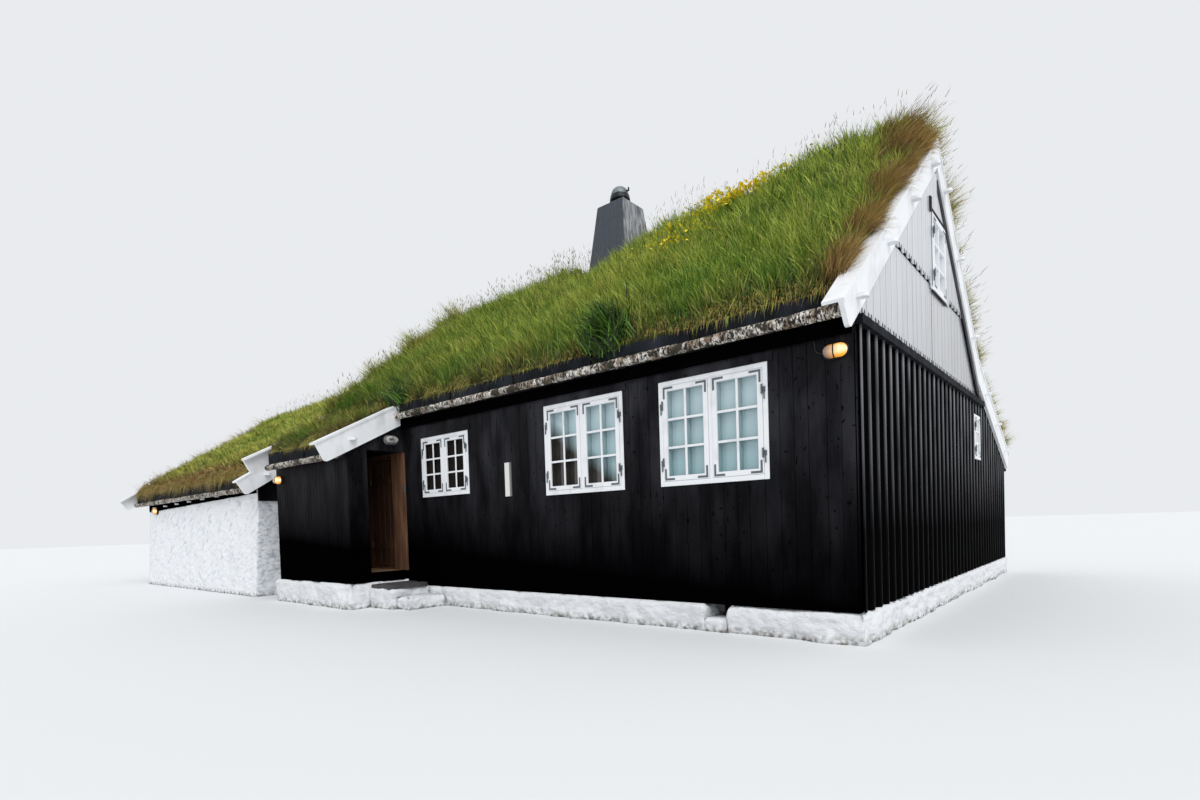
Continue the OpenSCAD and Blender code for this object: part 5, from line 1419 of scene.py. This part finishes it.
def flagstones(x0, x1, y0, y1, z0, z1, seed):
    # split slabs side by side: ragged outlines, turned and tilted a little
    rng = np.random.default_rng(seed)
    cuts = np.linspace(x0, x1, 3) + np.r_[0, rng.uniform(-0.06, 0.06), 0]
    turn = circle(28)
    square = np.maximum(abs(np.cos(turn)), abs(np.sin(turn)))
    parts = []
    for left, right in zip(cuts[:-1], cuts[1:]):
        reach = (0.96 + rng.uniform(-0.05, 0.05, len(turn))) / square ** 0.86
        x = (left + right) / 2 + (right - left) / 2 * np.cos(turn) * reach
        y = (y0 + y1) / 2 + (y1 - y0) / 2 * np.sin(turn) * reach
        tilt = rng.uniform(-0.012, 0.012) * (x - left) / (right - left)
        rows = [xyz(x, y, z + tilt) for z in (z0, z1 - 0.008)]
        rows.append(xyz(x * 0.97 + 0.03 * x.mean(), y * 0.97 + 0.03 * y.mean(), z1 + tilt))
        parts.append(loft(np.stack(rows)))
    return joined(parts)


slabs = flagstones(sx0, sx + 0.01, sy0 - 0.015, sy1, 0.278, 0.336, 10)
makePiece("step_slabs", *slabs, slate, "grey_slate")

leafBox, edgeIn = houseBox("door_leaf"), 0.004
leafStrips = boardStrips(leafBox[0][0] + 0.10, leafBox[1][0] - edgeIn, 0.13, level(leafBox[0][2] + edgeIn),
                         level(leafBox[1][2] - edgeIn), gap=0.004, seed=11)
makePiece("door_boards", *planks(frontWall, leafStrips, 0.005, 0.003), doorWood, "door_stain", body="door")
liningPlane = wallPlane("right", x=houseBox("doorway_lining")[1][0])
liningPlate = wallBlocks(liningPlane, [(-0.042, -0.012, 0, 0.004, 1.70, 1.80)])
makePiece("lining_plate", *liningPlate, iron, "lamp_shell")
print("steps and door done")


# Stage

stage = {"half": 140.0, "floor": "#dfe1e2", "sky": "#e9ebee", "soft": "#f4f5f8", "light": 0.92, "sun": 1.5,
         "spread": 50, "fall": (-0.62, 0.40, -0.85)}
paper = newFinish("paleFloor", {"Roughness": 0.9, "Base Color": linear(stage["floor"])})[0]  # matt paper
mesh = bpy.data.meshes.new("floor")
half = stage["half"]
mesh.from_pydata([(-half, -half, 0), (half, -half, 0), (half, half, 0), (-half, half, 0)], [], [(0, 1, 2, 3)])
mesh.materials.append(paper)
floor = bpy.data.objects.new("floor", mesh)
bpy.context.scene.collection.objects.link(floor)

world = bpy.data.worlds.new("studio")
bpy.context.scene.world = world
world.use_nodes = True
tree = world.node_tree
tree.nodes.clear()
rays = addNode(tree, "ShaderNodeLightPath").outputs
seen = rays["Is Camera Ray"]
for kind in ("Is Glossy Ray", "Is Transmission Ray"):
    seen = addNode(tree, "ShaderNodeMath", {0: seen, 1: rays[kind]}, operation="MAXIMUM").outputs[0]
softLight = addNode(tree, "ShaderNodeBackground", {0: stage["soft"], 1: stage["light"]}).outputs[0]
backdrop = addNode(tree, "ShaderNodeBackground", {0: stage["sky"], 1: 1.0}).outputs[0]
mixed = addNode(tree, "ShaderNodeMixShader", {0: seen, 1: softLight, 2: backdrop}).outputs[0]
addNode(tree, "ShaderNodeOutputWorld", {0: mixed})

sun = bpy.data.lights.new("softSun", "SUN")
sun.energy, sun.angle = stage["sun"], math.radians(stage["spread"])
sunObject = bpy.data.objects.new("softSun", sun)
sunObject.rotation_euler = Vector(stage["fall"]).to_track_quat("-Z", "Y").to_euler()
bpy.context.scene.collection.objects.link(sunObject)
bpy.context.scene.view_settings.view_transform = "Standard"

triangles = {o.name: sum(len(p.vertices) - 2 for p in o.data.polygons) for o in added}
print("triangles", sum(triangles.values()), "most", max(triangles.items(), key=lambda item: item[1]))
